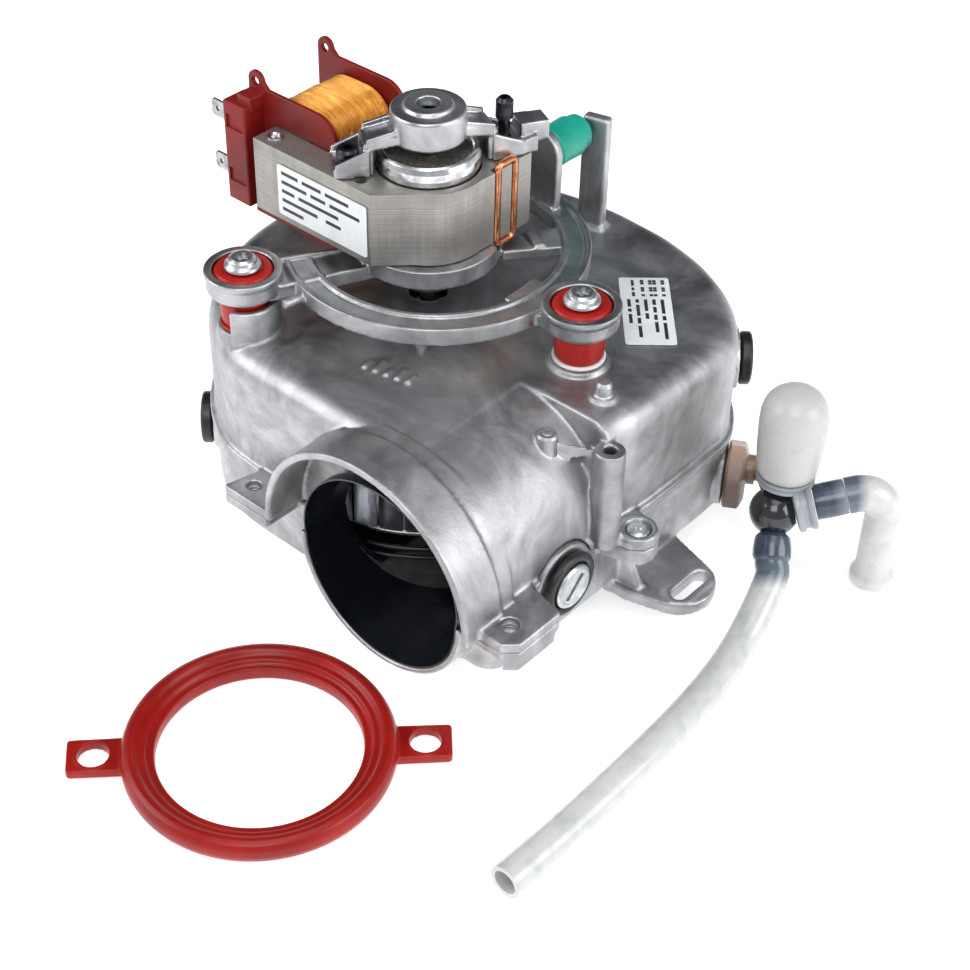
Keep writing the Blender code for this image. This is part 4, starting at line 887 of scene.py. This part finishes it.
for hx, hy in ((-49.5, -23.2), (-8.5, -23.6), (-49.5, 23.2), (-3, 23.8)):
    cut(st, cyl("t", (hx, hy, 100), (hx, hy, 150), 2.1, segs=40))
put(crisp(st, LAM.m, 30), "fan", "lamination_steel", "stator_stack")
for i, (hx, hy) in enumerate(((-49.5, -23.2), (-3, 23.8))):
    put(ring("stack_rivet_%d" % i, [(1.0, 111.0), (2.0, 111.0), (2.0, 137.4), (2.9, 138.0), (3.0, 138.5), (2.2, 138.8), (1.5, 138.3), (1.0, 137.0)],
             ZINC, segs=36, centre=(hx, hy, 0), soft=0.2), "fan", "zinc_plate")

# -------------------------------------------------------------- coil bobbin
bob = None
for y0, y1 in ((-17.6, -15.8), (15.8, 17.6)):
    fl = [(-68.0, 98.5), (-26.0, 98.5)]
    fl = ([(-68.0, 98.5)] + arc(-31.0, 103.5, 5.0, -90, 0, 8) + arc(-35.0, 141.0, 9.0, 0, 90, 12)
          + [(-58.5, 150.0)] + [(-60.6, 152.0)] + arc(-64.3, 151.8, 3.7, 10, 175, 14))
    rings = []
    for y, ins in ((y0, 0.35), (y0 + 0.3, 0.0), (y1 - 0.3, 0.0), (y1, 0.35)):
        rings.append([(x, y, z) for x, z in inset(fl, ins)])
    o = loft("t", rings)
    cut(o, cyl("t", (-64.3, y0 - 5, 151.6), (-64.3, y1 + 5, 151.6), 1.7, segs=40))
    bob = o if bob is None else join(bob, o)
bob.name = "coil_bobbin_skin"
join(bob, prism("t", [(-56.4, -16.5), (-36.8, -16.5), (-36.8, 16.5), (-56.4, 16.5)], 108.8, 139.7))
cut(bob, prism("t", [(-55.0, -30), (-38.2, -30), (-38.2, 30), (-55.0, 30)], 110.2, 138.3))
tb = block("t", (-71.5, -27.0, 107.0), (-60.5, -16.5, 146.0), r=0.8, corner=0.9)
join(bob, tb)
join(bob, block("t", (-66.5, -24.6, 144.0), (-59.6, -17.0, 149.2), r=0.5, corner=0.5))
for z in (138.5, 117.5):
    cut(bob, block("t", (-72.6, -25.6, z - 4.4), (-70.2, -20.4, z + 4.4), r=0, corner=0))
    cut(bob, block("t", (-70.0, -27.6, z - 2.6), (-62.0, -26.2, z + 2.6), r=0, corner=0))
crisp(bob, REDM, 35)
bevel(bob, 0.28, 2, 40)
put(bob, "fan", "red_moulding", "coil_bobbin")
for nm, z in (("upper", 138.5), ("lower", 117.5)):
    o = loft("terminal_" + nm, [[(-71.0, y, z + s) for y, s in ((-23.6, -3.15), (-22.6, -3.15), (-22.6, 3.15), (-23.6, 3.15))],
                                [(-80.4, y, z + s) for y, s in ((-23.6, -3.15), (-22.6, -3.15), (-22.6, 3.15), (-23.6, 3.15))],
                                [(-81.5, y, z + s) for y, s in ((-23.3, -2.2), (-22.9, -2.2), (-22.9, 2.2), (-23.3, 2.2))]])
    cut(o, cyl("t", (-78.0, -30, z), (-78.0, -15, z), 0.95, segs=32))
    join(o, block("t", (-73.6, -24.3, z - 2.4), (-70.4, -22.0, z + 2.4), r=0.3, corner=0.3))
    crisp(o, TIN, 35)
    bevel(o, 0.12, 2, 40)
    put(o, "fan", "zinc_plate", "spade_terminal_" + nm)

# --------------------------------------------------------------- winding
WIRE = Nodes("enamelled_wire")
wn, wb = WIRE.noise(1.0, 5.0, 0.65, vec=WIRE.mapped((70, 1300, 70))), WIRE.noise(70.0, 4.0, 0.6)
wf = WIRE.noise(1.0, 3.0, 0.6, vec=WIRE.mapped((260, 2600, 260)))
wc = WIRE.ramp(wn, [(0.32, (0.60, 0.20, 0.012)), (0.50, (0.86, 0.38, 0.03)), (0.66, (0.98, 0.60, 0.12))])
wc = WIRE.mix(WIRE.span(wf, 0.42, 0.66, 0.0, 0.55), wc, (0.42, 0.12, 0.008))
wsep = WIRE.t.nodes.new("ShaderNodeVectorMath")
wsep.operation = "DOT_PRODUCT"
wsep.inputs[1].default_value = (0.80, -0.10, -0.60)
WIRE.link(WIRE.tc.outputs["Object"], wsep.inputs[0])
edge_ = (at((-31.0, 0, 141.0))).dot(Vector((0.80, -0.10, -0.60)))
wc = WIRE.mix(WIRE.span(wsep.outputs["Value"], edge_ - 0.004, edge_ + 0.005, 0.0, 0.72), wc, (0.50, 0.13, 0.03))
WIRE.set(Base_Color=wc, Metallic=0.45, Roughness=WIRE.span(wb, 0.3, 0.7, 0.22, 0.38), Coat_Weight=0.35, Coat_Roughness=0.2,
         Normal=WIRE.bump(wf, 0.35, 0.25, WIRE.bump(wn, 0.35, 0.35)))


def coil_section(grow, y, tilt=0.0):
    hx, hz, cxw, czw, c = 15.5 + grow, 21.1 + grow, -46.6, 124.25, 11.5
    pts = []
    for qx, qz, a0 in ((1, 1, 0), (-1, 1, 90), (-1, -1, 180), (1, -1, 270)):
        for x, z in arc(cxw + qx * (hx - c), czw + qz * (hz - c), c, a0, a0 + 90, 8):
            pts.append((x, y + tilt * (z - czw) / 20, z))
    return pts


rows = []
turns = 46
for i in range(turns * 6 + 1):
    s = i / (turns * 6)
    y = -15.35 + 30.7 * s
    wob = noise.noise(Vector((s * 9.0, 0.3, 0.7))) * 0.22
    swell = 0.25 * math.sin(math.pi * s) + wob
    edge = -0.5 * (max(0, 0.03 - s) + max(0, s - 0.97)) / 0.03
    rid = 0.30 * (abs(math.sin(math.pi * turns * s)) ** 0.7 - 1)
    rows.append(coil_section(0.35 + swell + edge + rid, y, 0.25 * math.sin(s * 23)))
coil = loft("coil_winding_skin", rows, angle=180)
cut(coil, prism("t", [(-56.7, -30), (-36.5, -30), (-36.5, 30), (-56.7, 30)], 108.5, 140.0))
put(crisp(coil, WIRE.m, 60), "fan", "enamelled_wire", "coil_winding")
# the lead-out wires at the coil's inner corner
for i, (p, q, r_, s) in enumerate((((-31.8, -9, 139.5), (-28.0, -13, 141.6), (-25.0, -16.4, 139.6), (-23.8, -15.2, 138.4)),
                                   ((-31.4, -4, 140.5), (-26.5, -9.0, 143.6), (-24.4, -12.6, 141.4), (-24.6, -14.4, 138.4)))):
    put(tube("lead_wire_%d" % i, catmull([V(*p), V(*q), V(*r_), V(*s)], 8), 0.45, WIRE.m, sides=12), "fan", "enamelled_wire")


def shading(name, x, y, node):
    h, z0, z1, c = 4.3, 108.9, 139.6, 2.2
    pts = []
    for qy, qz, a0 in ((1, 1, 0), (-1, 1, 90), (-1, -1, 180), (1, -1, 270)):
        cy_, cz_ = y + qy * (h - c), (z1 - c) if qz > 0 else (z0 + c)
        for t in range(0, 91, 10):
            a = math.radians(a0 + t)
            pts.append(V(x, cy_ + c * math.cos(a), cz_ + c * math.sin(a)))
    dense = []
    for a, b in zip(pts, pts[1:] + pts[:1]):
        n = max(1, int((b - a).length / 1.2))
        dense += [a.lerp(b, k / n) for k in range(n)]
    put(tube(name + "_skin", dense, 1.25, COPPER, closed=True, sides=20), "fan", "copper", node)


shading("shade_rear", 20.5, 15.9, "shading_ring_rear")
shading("shade_front", -21.9, -10.5, "shading_ring_front")

# ---------------------------------------------------- upper bearing and bridge
bg = cyl("bearing_bridge_skin", (0, 0, 148.4), (0, 0, 160.6), segs=96,
         prof=[(12.2, 0), (12.85, 0.6), (12.85, 10.0), (12.3, 10.8), (8.7, 10.8), (8.3, 11.8), (7.8, 12.2)])
for a, ext in ((231.5, 0.0), (63.0, 1.0)):
    ux, uy = polar(1, a)

    def strip(r0, r1, w0, w1, z00, z01, z10, z11, side=0.0):
        pts = []
        for r, ww, za, zb in ((r0, w0, z00, z01), (r1, w1, z10, z11)):
            pts.append([(ux * r - uy * (side + ww), uy * r + ux * (side + ww), za), (ux * r + uy * (ww - side), uy * r - ux * (ww - side), za),
                        (ux * r + uy * (ww - side), uy * r - ux * (ww - side), zb), (ux * r - uy * (side + ww), uy * r + ux * (side + ww), zb)])
        return loft("t", pts)

    join(bg, strip(9.0, 20.5, 7.0, 6.0, 149.2, 152.8, 147.2, 150.0))
    for sg in (-1, 1):
        join(bg, strip(9.0, 21.5, 0.8, 0.8, 149.2, 155.0, 147.2, 151.6, side=sg * 5.6))
    join(bg, strip(19.2, 22.5, 6.2, 6.0, 138.3, 150.6, 138.3, 149.4))
    join(bg, strip(21.5, 32.5 + 4.5 * ext, 7.6, 6.6, 138.3, 142.0, 138.3, 141.4 + 3 * ext))
    for sg in (-1, 1):
        join(bg, strip(20.5, 32.0, 0.8, 0.8, 138.3, 148.5, 138.3, 143.4, side=sg * 6.6))
    if ext:
        join(bg, strip(31.5, 42.0, 4.4, 4.0, 139.5, 148.5, 141.0, 148.0))
for a in (231.5, 63.0):
    hx, hy = polar(27.0, a)
    cut(bg, cyl("t", (hx, hy, 130), (hx, hy, 170), 2.3))
cut(bg, cyl("t", (0, 0, 140), (0, 0, 156.6), 8.3), cyl("t", (0, 0, 140), (0, 0, 170), 4.1))
cast(bg, 0.42, CAST_C, passes=3)
put(bg, "fan", "cast_aluminium", "bearing_bridge")


def star_head(name, prof, p, node, depth, rr):
    o = cyl(name, (p[0], p[1], 138.6), (p[0], p[1], 158), segs=60, prof=prof, soft=0.25)
    top = 138.6 + prof[-1][1]
    rec = [[(p[0] + (rr + 0.3 * math.cos(6 * t)) * math.cos(t), p[1] + (rr + 0.3 * math.cos(6 * t)) * math.sin(t), z)
            for t in (2 * math.pi * j / 36 for j in range(36))] for z in (top - depth, top + 2)]
    cut(o, loft("t", rec))
    put(crisp(o, DARK, 40), "fan", "dark_steel", node)


star_head("bridge_screw_front_skin", [(2.0, 0), (2.0, 4.5), (3.9, 4.5), (3.9, 6.6), (3.0, 7.6)], polar(27.0, 231.5), "bridge_screw_front", 1.6, 1.5)
star_head("bridge_screw_rear_skin", [(2.0, 0), (2.0, 11.4), (3.0, 11.4), (3.0, 17.6), (1.9, 18.8)], polar(27.0, 63.0), "bridge_screw_rear", 1.4, 1.1)


# ------------------------------------------------------------ plugs and seal
def plug(name, p, axis, r, mat, node, slot_):
    p, ax = Vector(p), Vector(axis).normalized()
    o = cyl(name, p, p + ax * 4.4, segs=80, prof=[(r - 1.2, 0), (r, 0.8), (r, 3.5), (r - 0.6, 4.2), (r - 1.6, 4.4), (r - 2.2, 4.1), (r - 2.6, 4.1)],
            soft=0.3)
    x, y, z = frame_to(ax)
    s = math.sqrt(0.5)
    d, e = (x * s + y * s), (x * s - y * s)
    rings = []
    for h in (2.6, 6.0):
        rings.append([p + ax * h + d * (u * (r - 3.0)) + e * (v * 1.05) for u, v in ((-1, -1), (1, -1), (1, 1), (-1, 1))])
    cut(o, loft("t", rings))
    put(crisp(o, mat, 40), "fan", slot_, node)


plug("side_plug_skin", (98.6, -40.5, 37), (1, 0, 0), 8.2, ZINC, "side_plug", "zinc_plate")
put(ring("side_o_ring_skin", [(10.3 + 1.75 * math.cos(t), 1.75 + 1.6 * math.sin(t)) for t in (2 * math.pi * k / 16 for k in range(16))],
         BLACKR, segs=80, centre=(98.6, -40.5, 37), axis=(1, 0, 0), angle=180), "fan", "black_rubber", "side_plug_o_ring")
plug("left_plug_skin", (px * 79.0, py * 79.0, 30), (px, py, 0), 9.6, BLACKR, "left_plug", "black_plastic")
put(cyl("left_plug_centre", (px * 82.9, py * 82.9, 30), (px * 84.2, py * 84.2, 30), mat=ZINC, segs=64, prof=[(6.2, 0), (6.2, 0.5), (5.6, 0.9), (2.4, 0.9)], soft=0.2),
    "fan", "zinc_plate")
plug("right_plug_skin", (rx * 110.9, ry * 110.9, 61), (rx, ry, 0), 9.6, BLACKR, "right_plug", "black_plastic")
cs = cyl("casing_screw_skin", (106, -12, 36.5), (106, -12, 50), segs=60, prof=[(2.0, 0), (2.0, 8.3), (3.9, 8.3), (3.9, 9.2), (2.6, 9.9)], soft=0.3)
cut(cs, loft("t", [[(106 + (1.4 + 0.28 * math.cos(6 * t)) * math.cos(t), -12 + (1.4 + 0.28 * math.cos(6 * t)) * math.sin(t), z)
                    for t in (2 * math.pi * j / 36 for j in range(36))] for z in (45.2, 51)]))
put(crisp(cs, ZINC, 40), "fan", "zinc_plate", "casing_screw")

# -------------------------------------------------------------------- labels
put(block("data_label_skin", (45, 32.2, 87.3), (85, 49.8, 87.65), PAPER, turn=-48.3, pivot=(65, 41), r=0.08, corner=1.2), "fan", "label_white", "data_label")


def rot2(x, y, a, c):
    ca, sa = math.cos(math.radians(a)), math.sin(math.radians(a))
    return (c[0] + (x - c[0]) * ca - (y - c[1]) * sa, c[1] + (x - c[0]) * sa + (y - c[1]) * ca)


bm = bmesh.new()


def mark(bm, quad):
    """A printed bar, a hair proud of its paper; quad is its 8 corners' two faces."""
    a, b = quad
    lo_ = [bm.verts.new(at(p)) for p in a]
    hi_ = [bm.verts.new(at(p)) for p in b]
    n = len(a)
    for i in range(n):
        j = (i + 1) % n
        bm.faces.new((lo_[i], lo_[j], hi_[j], hi_[i]))
    bm.faces.new(lo_[::-1])
    bm.faces.new(hi_)


def flat_mark(x0, y0, x1, y1):
    pts = [rot2(x, y, -48.3, (65, 41)) for x, y in ((x0, y0), (x1, y0), (x1, y1), (x0, y1))]
    mark(bm, ([(x, y, 87.60) for x, y in pts], [(x, y, 87.70) for x, y in pts]))


for i in range(7):
    for j in range(6):
        if (i * 5 + j * 7 + i * j) % 3 != 1:
            flat_mark(46.6 + i * 1.45, 39.6 + j * 1.45, 46.6 + i * 1.45 + 1.25, 39.6 + j * 1.45 + 1.25)
for k, row in enumerate((((58.5, 63.0), (64.2, 66.0), (67.4, 72.8)), ((58.5, 60.5), (61.8, 68.4), (69.6, 73.0), (74.4, 81.0)), ((58.5, 65.5), (66.8, 70.2)),
                         ((58.5, 61.8), (63.0, 66.4), (67.6, 70.8), (72.0, 78.0)), ((58.5, 67.0), (68.4, 71.0), (72.5, 82.0)))):
    for a, b in row:
        flat_mark(a, 34.4 + k * 2.9, b, 34.4 + k * 2.9 + 1.2)
for a, b in ((46.6, 50.2), (51.2, 53.0), (54.0, 56.6)):
    flat_mark(a, 36.4, b, 37.4)
put(make("data_label_bars", bm, INK), "fan", "label_white")

put(loft("motor_label_skin", [[(x, -28.8, z) for x, z in fillet([(-43, 113.5), (-1, 113.5), (-1, 133.0), (-43, 133.0)], 1.0, 4)],
                              [(x, -29.2, z) for x, z in fillet([(-43, 113.5), (-1, 113.5), (-1, 133.0), (-43, 133.0)], 1.0, 4)]], PAPER),
    "fan", "label_white", "motor_label")
bm = bmesh.new()
for k, row in enumerate((((-41, -33), (-31, -22), (-20, -9)), ((-41, -29), (-27, -20), (-18, -4)), ((-41, -35), (-33, -14)), ((-41, -24), (-20, -13)),
                         ((-41, -31),))):
    z = 129.6 - k * 3.5
    for x0, x1 in row:
        mark(bm, ([(x0, -29.15, z), (x1, -29.15, z), (x1, -29.15, z + 1.3), (x0, -29.15, z + 1.3)],
                  [(x0, -29.26, z), (x1, -29.26, z), (x1, -29.26, z + 1.3), (x0, -29.26, z + 1.3)]))
put(make("motor_label_bars", bm, INK), "fan", "label_white")

# ----------------------------------------------- condensate trap and its hoses
T = V(127.0, 37.0, 34.0)
U = V(0.735, 0.678, 0.0)
F = V(fx, fy, 0.0)
B = T + U * 0.8 + V(0, 0, 1.0)
D2 = U * 0.961 + V(0, 0, 0.276)
pc = V(125.8, 44.8, 0)
W0 = V(fx * 110.5, fy * 110.5, 24.0)
bend = W0 + F * 14 + V(0, 0, 3.6)
back = V(bend.x - pc.x, bend.y - pc.y, 0).normalized()
neck_end = pc + back * 8.2 + V(0, 0, 29.5)


def hexed(t, d):
    return 1.0 / max(0.866, math.cos(((t + math.pi / 6) % (math.pi / 3)) - math.pi / 6)) * 0.95 if d > 1.0 else 1.0


fit = cyl("drain_fitting_skin", W0, W0 + F * 7.5, segs=96, prof=[(11.6, 0), (12.6, 0.9), (12.0, 1.2), (12.0, 5.6), (11.0, 6.4), (8.2, 7.5)], soft=0.3,
          lobes=hexed)
q0, q1 = bend - F * 4.0, bend + (neck_end - bend).normalized() * 4.0
path = [W0 + F * 4 + V(0, 0, 3.0), q0] + [q0.lerp(bend, k / 8).lerp(bend.lerp(q1, k / 8), k / 8) for k in range(1, 8)] + [q1, neck_end]
join(fit, tube("t", path, 4.1, sides=40))
join(fit, cyl("t", W0 + F * 7.0 + V(0, 0, 3.2), W0 + F * 10.4 + V(0, 0, 3.3), 5.4, segs=64, soft=0.4))
# the brown fitting's colour is darker towards the bottom and lighter upward
BROWN2 = smoke_fade("brown_darker_low", (110, 60, 15), (110, 60, 38), (0.10, 0.055, 0.04), (0.42, 0.27, 0.19), 0.32)
put(crisp(fit, BROWN2, 35), "fan", "brown_plastic", "drain_fitting")

SMOKE = smoke_fade("smoke_insert", B + D2 * 12, B + D2 * 27, (0.030, 0.045, 0.070), (0.30, 0.33, 0.37))
CLEAR = milky("clear_collar", (0.46, 0.48, 0.51), (0.24, 0.26, 0.29), 0.25, (0.08, 0.2), 0.1)
tb2 = cyl("trap_body_skin", B + D2 * 6.8, B + D2 * 13.6, segs=96,
          prof=[(7.4, 0), (9.2, 0.5), (9.2, 2.2), (8.3, 2.8), (8.3, 4.4), (9.0, 5.0), (9.2, 6.2), (8.6, 6.8)], soft=0.4)
join(tb2, cyl("t", (pc.x, pc.y, 25.0), (pc.x, pc.y, 47.6), segs=96,
              prof=[(6.0, 0), (6.0, 18.4), (10.2, 19.4), (10.2, 20.6), (9.5, 21.0), (10.2, 21.4), (10.2, 22.6)], soft=0.3))
join(tb2, cyl("t", pc + V(0, 0, 29.5), pc + back * 7.7 + V(0, 0, 29.5), 3.4, segs=40))
put(crisp(tb2, CLEAR, 45), "fan", "smoke_plastic", "trap_body")

blk = [(max(0.8, 8.6 * math.cos(-math.pi / 2 + math.pi * k / 32)), 8.6 + 8.6 * math.sin(-math.pi / 2 + math.pi * k / 32)) for k in range(33)]
HD = V(0.42, -0.56, -0.71).normalized()
h0 = B + HD * 9.0
vb = cyl("valve_body_skin", B - V(0, 0, 8.6), B + V(0, 0, 8.6), segs=96, prof=blk)
cut(vb, cyl("t", B + D2 * 6.5, B + D2 * 24, 12), cyl("t", (pc.x, pc.y, 20), (pc.x, pc.y, 60), 6.4),
    cyl("t", (pc.x, pc.y, 42.4), (pc.x, pc.y, 60), 11.0), cyl("t", h0 - HD * 0.3, h0 + HD * 12, 7.5))
put(crisp(vb, BLACK, 40), "fan", "black_plastic", "valve_body")
put(cyl("elbow_insert_skin", B + D2 * 13.9, B + D2 * 24.7, mat=SMOKE, segs=64, prof=[(6.2, 0), (6.35, 4.0), (6.3, 8.0), (6.2, 10.8)], soft=0.2),
    "fan", "smoke_plastic", "elbow_insert")

pot = cyl("condensate_pot_skin", (pc.x, pc.y, 47.9), (pc.x, pc.y, 82), mat=MILKY, segs=96,
          prof=[(9.4, 0), (10.2, 0.8), (10.6, 3), (11.2, 10), (11.55, 18), (11.6, 21), (11.45, 25.0), (11.0, 27.2), (10.2, 29.2), (9.0, 31.0), (7.2, 32.6),
                (5.0, 33.6), (2.6, 34.1), (0.8, 34.2)], angle=70)
put(pot, "fan", "milky_plastic", "condensate_pot")

e0 = B + D2 * 25.0
ux, upv = V(U.x, U.y, 0).normalized(), V(0, 0, 1)
turn_r, a0 = 8.6, math.asin(0.276)
el = [e0, e0 + D2 * 1.0, e0 + D2 * 2.0, e0 + D2 * 3.0]
c0 = el[-1] + (ux * math.sin(a0) - upv * math.cos(a0)) * turn_r
for k in range(1, 21):
    h = (math.pi / 2 + a0) * (1 - k / 20)
    el.append(c0 + (ux * math.cos(h) + upv * math.sin(h)) * turn_r)
leg = el[-1]
el += [V(leg.x, leg.y, leg.z - d) for d in (3, 6, 9, 12, 16, 20)] + [V(leg.x, leg.y, 9.4)]
end = el[-1]
elb = tube("elbow_hose_skin", el, 6.4, sides=64)
join(elb, cyl("t", end + V(0, 0, 1), end + V(0, 0, -6), segs=80, prof=[(6.4, 0), (6.7, 1.4), (7.7, 3.2), (7.8, 5.2), (7.5, 7)], soft=0.5))
cut(elb, cyl("t", end + V(0, 0, 3.0), end + V(0, 0, -12), 5.2))
ELM = smoke_fade("elbow_milky", B + U * 21.5, B + U * 30.5, (0.10, 0.125, 0.16), (0.60, 0.595, 0.575), 0.24)
put(crisp(elb, ELM, 45), "fan", "milky_plastic", "elbow_hose")

# ---------------------------------------------------------------- drain hose
HOSE_D = 11.5
SMOKE2 = smoke_fade("smoke_hose_insert", h0 - HD * 4, h0 + HD * 14, (0.030, 0.045, 0.070), (0.20, 0.23, 0.27))
put(cyl("hose_insert_skin", h0 - HD * 1.6, h0 + HD * 8.15, mat=SMOKE2, segs=56, prof=[(4.4, 0), (5.9, 1.5), (6.3, 3.2), (6.6, 6.0), (6.6, 8.4), (6.1, 9.7)], soft=0.2),
    "fan", "smoke_plastic", "hose_insert")
start = h0 + HD * 8.2
zc = HOSE_D / 2 + 0.4
ctrl = [start, start + HD * 7.0, V(142.6, 2.0, zc + 1.6), V(146.6, -22.0, zc), V(148.8, -50.0, zc), V(149.6, -80.0, zc),
        V(149.8, -105.0, zc), V(149.2, -128.0, zc)]
route = catmull(ctrl, 4)
fine = catmull(route, 3)
shown = [start - HD * 1.6, start - HD * 0.8] + fine
outer = sweep(shown, 40, 5.75)
inner = sweep(shown, 40, 4.1)
bm = bmesh.new()
lo_, li_ = ([[bm.verts.new(at(p)) for p in r] for r in outer], [[bm.verts.new(at(p)) for p in r] for r in inner])
for g, flip in ((lo_, False), (li_, True)):
    for a, b in zip(g, g[1:]):
        for i in range(40):
            j = (i + 1) % 40
            f = (a[i], a[j], b[j], b[i])
            bm.faces.new(f[::-1] if flip else f)
for i in range(40):
    j = (i + 1) % 40
    bm.faces.new((lo_[0][j], lo_[0][i], li_[0][i], li_[0][j]))
    bm.faces.new((lo_[-1][i], lo_[-1][j], li_[-1][j], li_[-1][i]))
HOSE_FADE = smoke_fade("hose_tinted_end", start - HD * 2.0, start + HD * 10.0, (0.07, 0.095, 0.13), (0.58, 0.585, 0.56), 0.22)
hose = make("drain_hose_skin", bm, HOSE_FADE, 50)
put(hose, "fan", "milky_plastic", "drain_hose")

# ---------------------------------------------------------- loose outlet seal
sp = [(34.0, 0.2), (37.0, 0.0), (42.2, 0.0), (44.2, 1.2), (44.9, 3.4), (44.7, 5.6), (43.6, 7.6), (41.8, 8.5), (40.2, 8.2), (39.3, 7.2),
      (38.6, 6.4), (37.8, 6.7), (36.9, 6.5), (36.4, 5.4), (35.4, 4.9), (34.2, 5.2), (33.8, 4.6), (33.7, 2.0)]
seal = ring("seal_ring_skin", sp, segs=160, soft=0.7)
for sx in (-1, 1):
    x0, x1 = 42.5, 62.0
    pts = fillet([(sx * x0, -7.2), (sx * x1, -7.2), (sx * (x1 + 0.6), 7.0), (sx * x0, 7.2)], 1.4, 4)
    join(seal, slab("t", pts, 0.4, 3.7, r=0.5))
    join(seal, ring("t", [(5.0, 3.0), (6.2, 3.0), (6.2, 4.0), (5.0, 4.0)], segs=64, centre=(sx * 53.6, 0, 0), soft=0.3))
    cut(seal, cyl("t", (sx * 53.6, 0, -5), (sx * 53.6, 0, 10), 5.2))
M = Matrix.Translation(at((54.5, -139.3, 0))) @ Matrix.Rotation(math.radians(46.0), 4, "Z") @ Matrix.Translation(-at((0, 0, 0)))
seal.data.transform(M)
put(cast(seal, 0.42, SILI, passes=3), "seal", "red_silicone", "seal_ring")

# ------------------------------------------------------- specular levels, nodes kept from model.glb
for m_, k_ in ((SILI, 0.32), (RED, 0.35), (REDM, 0.30), (BORE, 0.55)):
    m_.node_tree.nodes["Principled BSDF"].inputs["Specular IOR Level"].default_value = k_
for node, m in (("core_leg", LAM.m), ("rotor_core", LAM.m), ("lower_bearing", DARK), ("upper_bearing", DARK), ("impeller_nut", ZINC)):
    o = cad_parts[node]
    o.data.materials.clear()
    o.data.materials.append(m)

# ---------------------------------------------------------- floor and lights
fl = Nodes("floor_paper")
fn = fl.noise(3.0, 3.0, 0.5)
fl.set(Base_Color=fl.ramp(fn, [(0.3, (0.90, 0.90, 0.90)), (0.7, (0.93, 0.93, 0.93))]), Roughness=0.7, Specular_IOR_Level=0.1,
       Emission_Color=(1.0, 1.0, 1.0, 1.0), Emission_Strength=0.50)
bm = bmesh.new()
S = 3.0
bm.faces.new([bm.verts.new((x, y, 0)) for x, y in ((-S, -S), (S, -S), (S, S), (-S, S))])
floor = make("floor", bm, fl.m)
floor.location.z = -0.0002


def area(name, loc, size, power, aim_=(0, 0, 0.05), col=(1, 1, 1), size_y=None):
    d = bpy.data.lights.new(name, "AREA")
    d.energy = power
    d.color = col
    d.shape = "RECTANGLE"
    d.size = size
    d.size_y = size_y or size
    o = bpy.data.objects.new(name, d)
    scene.collection.objects.link(o)
    o.location = loc
    o.rotation_mode = "QUATERNION"
    o.rotation_quaternion = (Vector(aim_) - Vector(loc)).to_track_quat("-Z", "Y")
    return o


area("front_left", (-0.85, -0.75, 0.75), 0.8, 8.5)
area("right", (1.05, 0.35, 0.55), 0.7, 7.5)
area("over_camera", (0.50, -0.75, 1.15), 0.7, 6.5)
area("top", (0.25, -0.05, 1.6), 0.9, 5.0)

world = bpy.data.worlds.new("studio")
scene.world = world
world.use_nodes = True
wt = world.node_tree
wtc = wt.nodes.new("ShaderNodeTexCoord")
wd = wt.nodes.new("ShaderNodeVectorMath")
wd.operation = "DOT_PRODUCT"
wd.inputs[1].default_value = Vector((-0.55, 0.53, 0.64)).normalized()
wt.links.new(wtc.outputs["Generated"], wd.inputs[0])
wr = wt.nodes.new("ShaderNodeValToRGB")
for el_, (p_, c_) in zip(wr.color_ramp.elements, ((0.35, (0.62, 0.64, 0.66)), (0.92, (0.13, 0.14, 0.155)))):
    el_.position = p_
    el_.color = (*c_, 1.0)
wt.links.new(wd.outputs["Value"], wr.inputs["Fac"])
wt.links.new(wr.outputs["Color"], wt.nodes["Background"].inputs["Color"])
wt.nodes["Background"].inputs["Strength"].default_value = 0.75
scene.view_settings.view_transform = "Standard"
scene.view_settings.look = "None"
scene.view_settings.exposure = 0.0
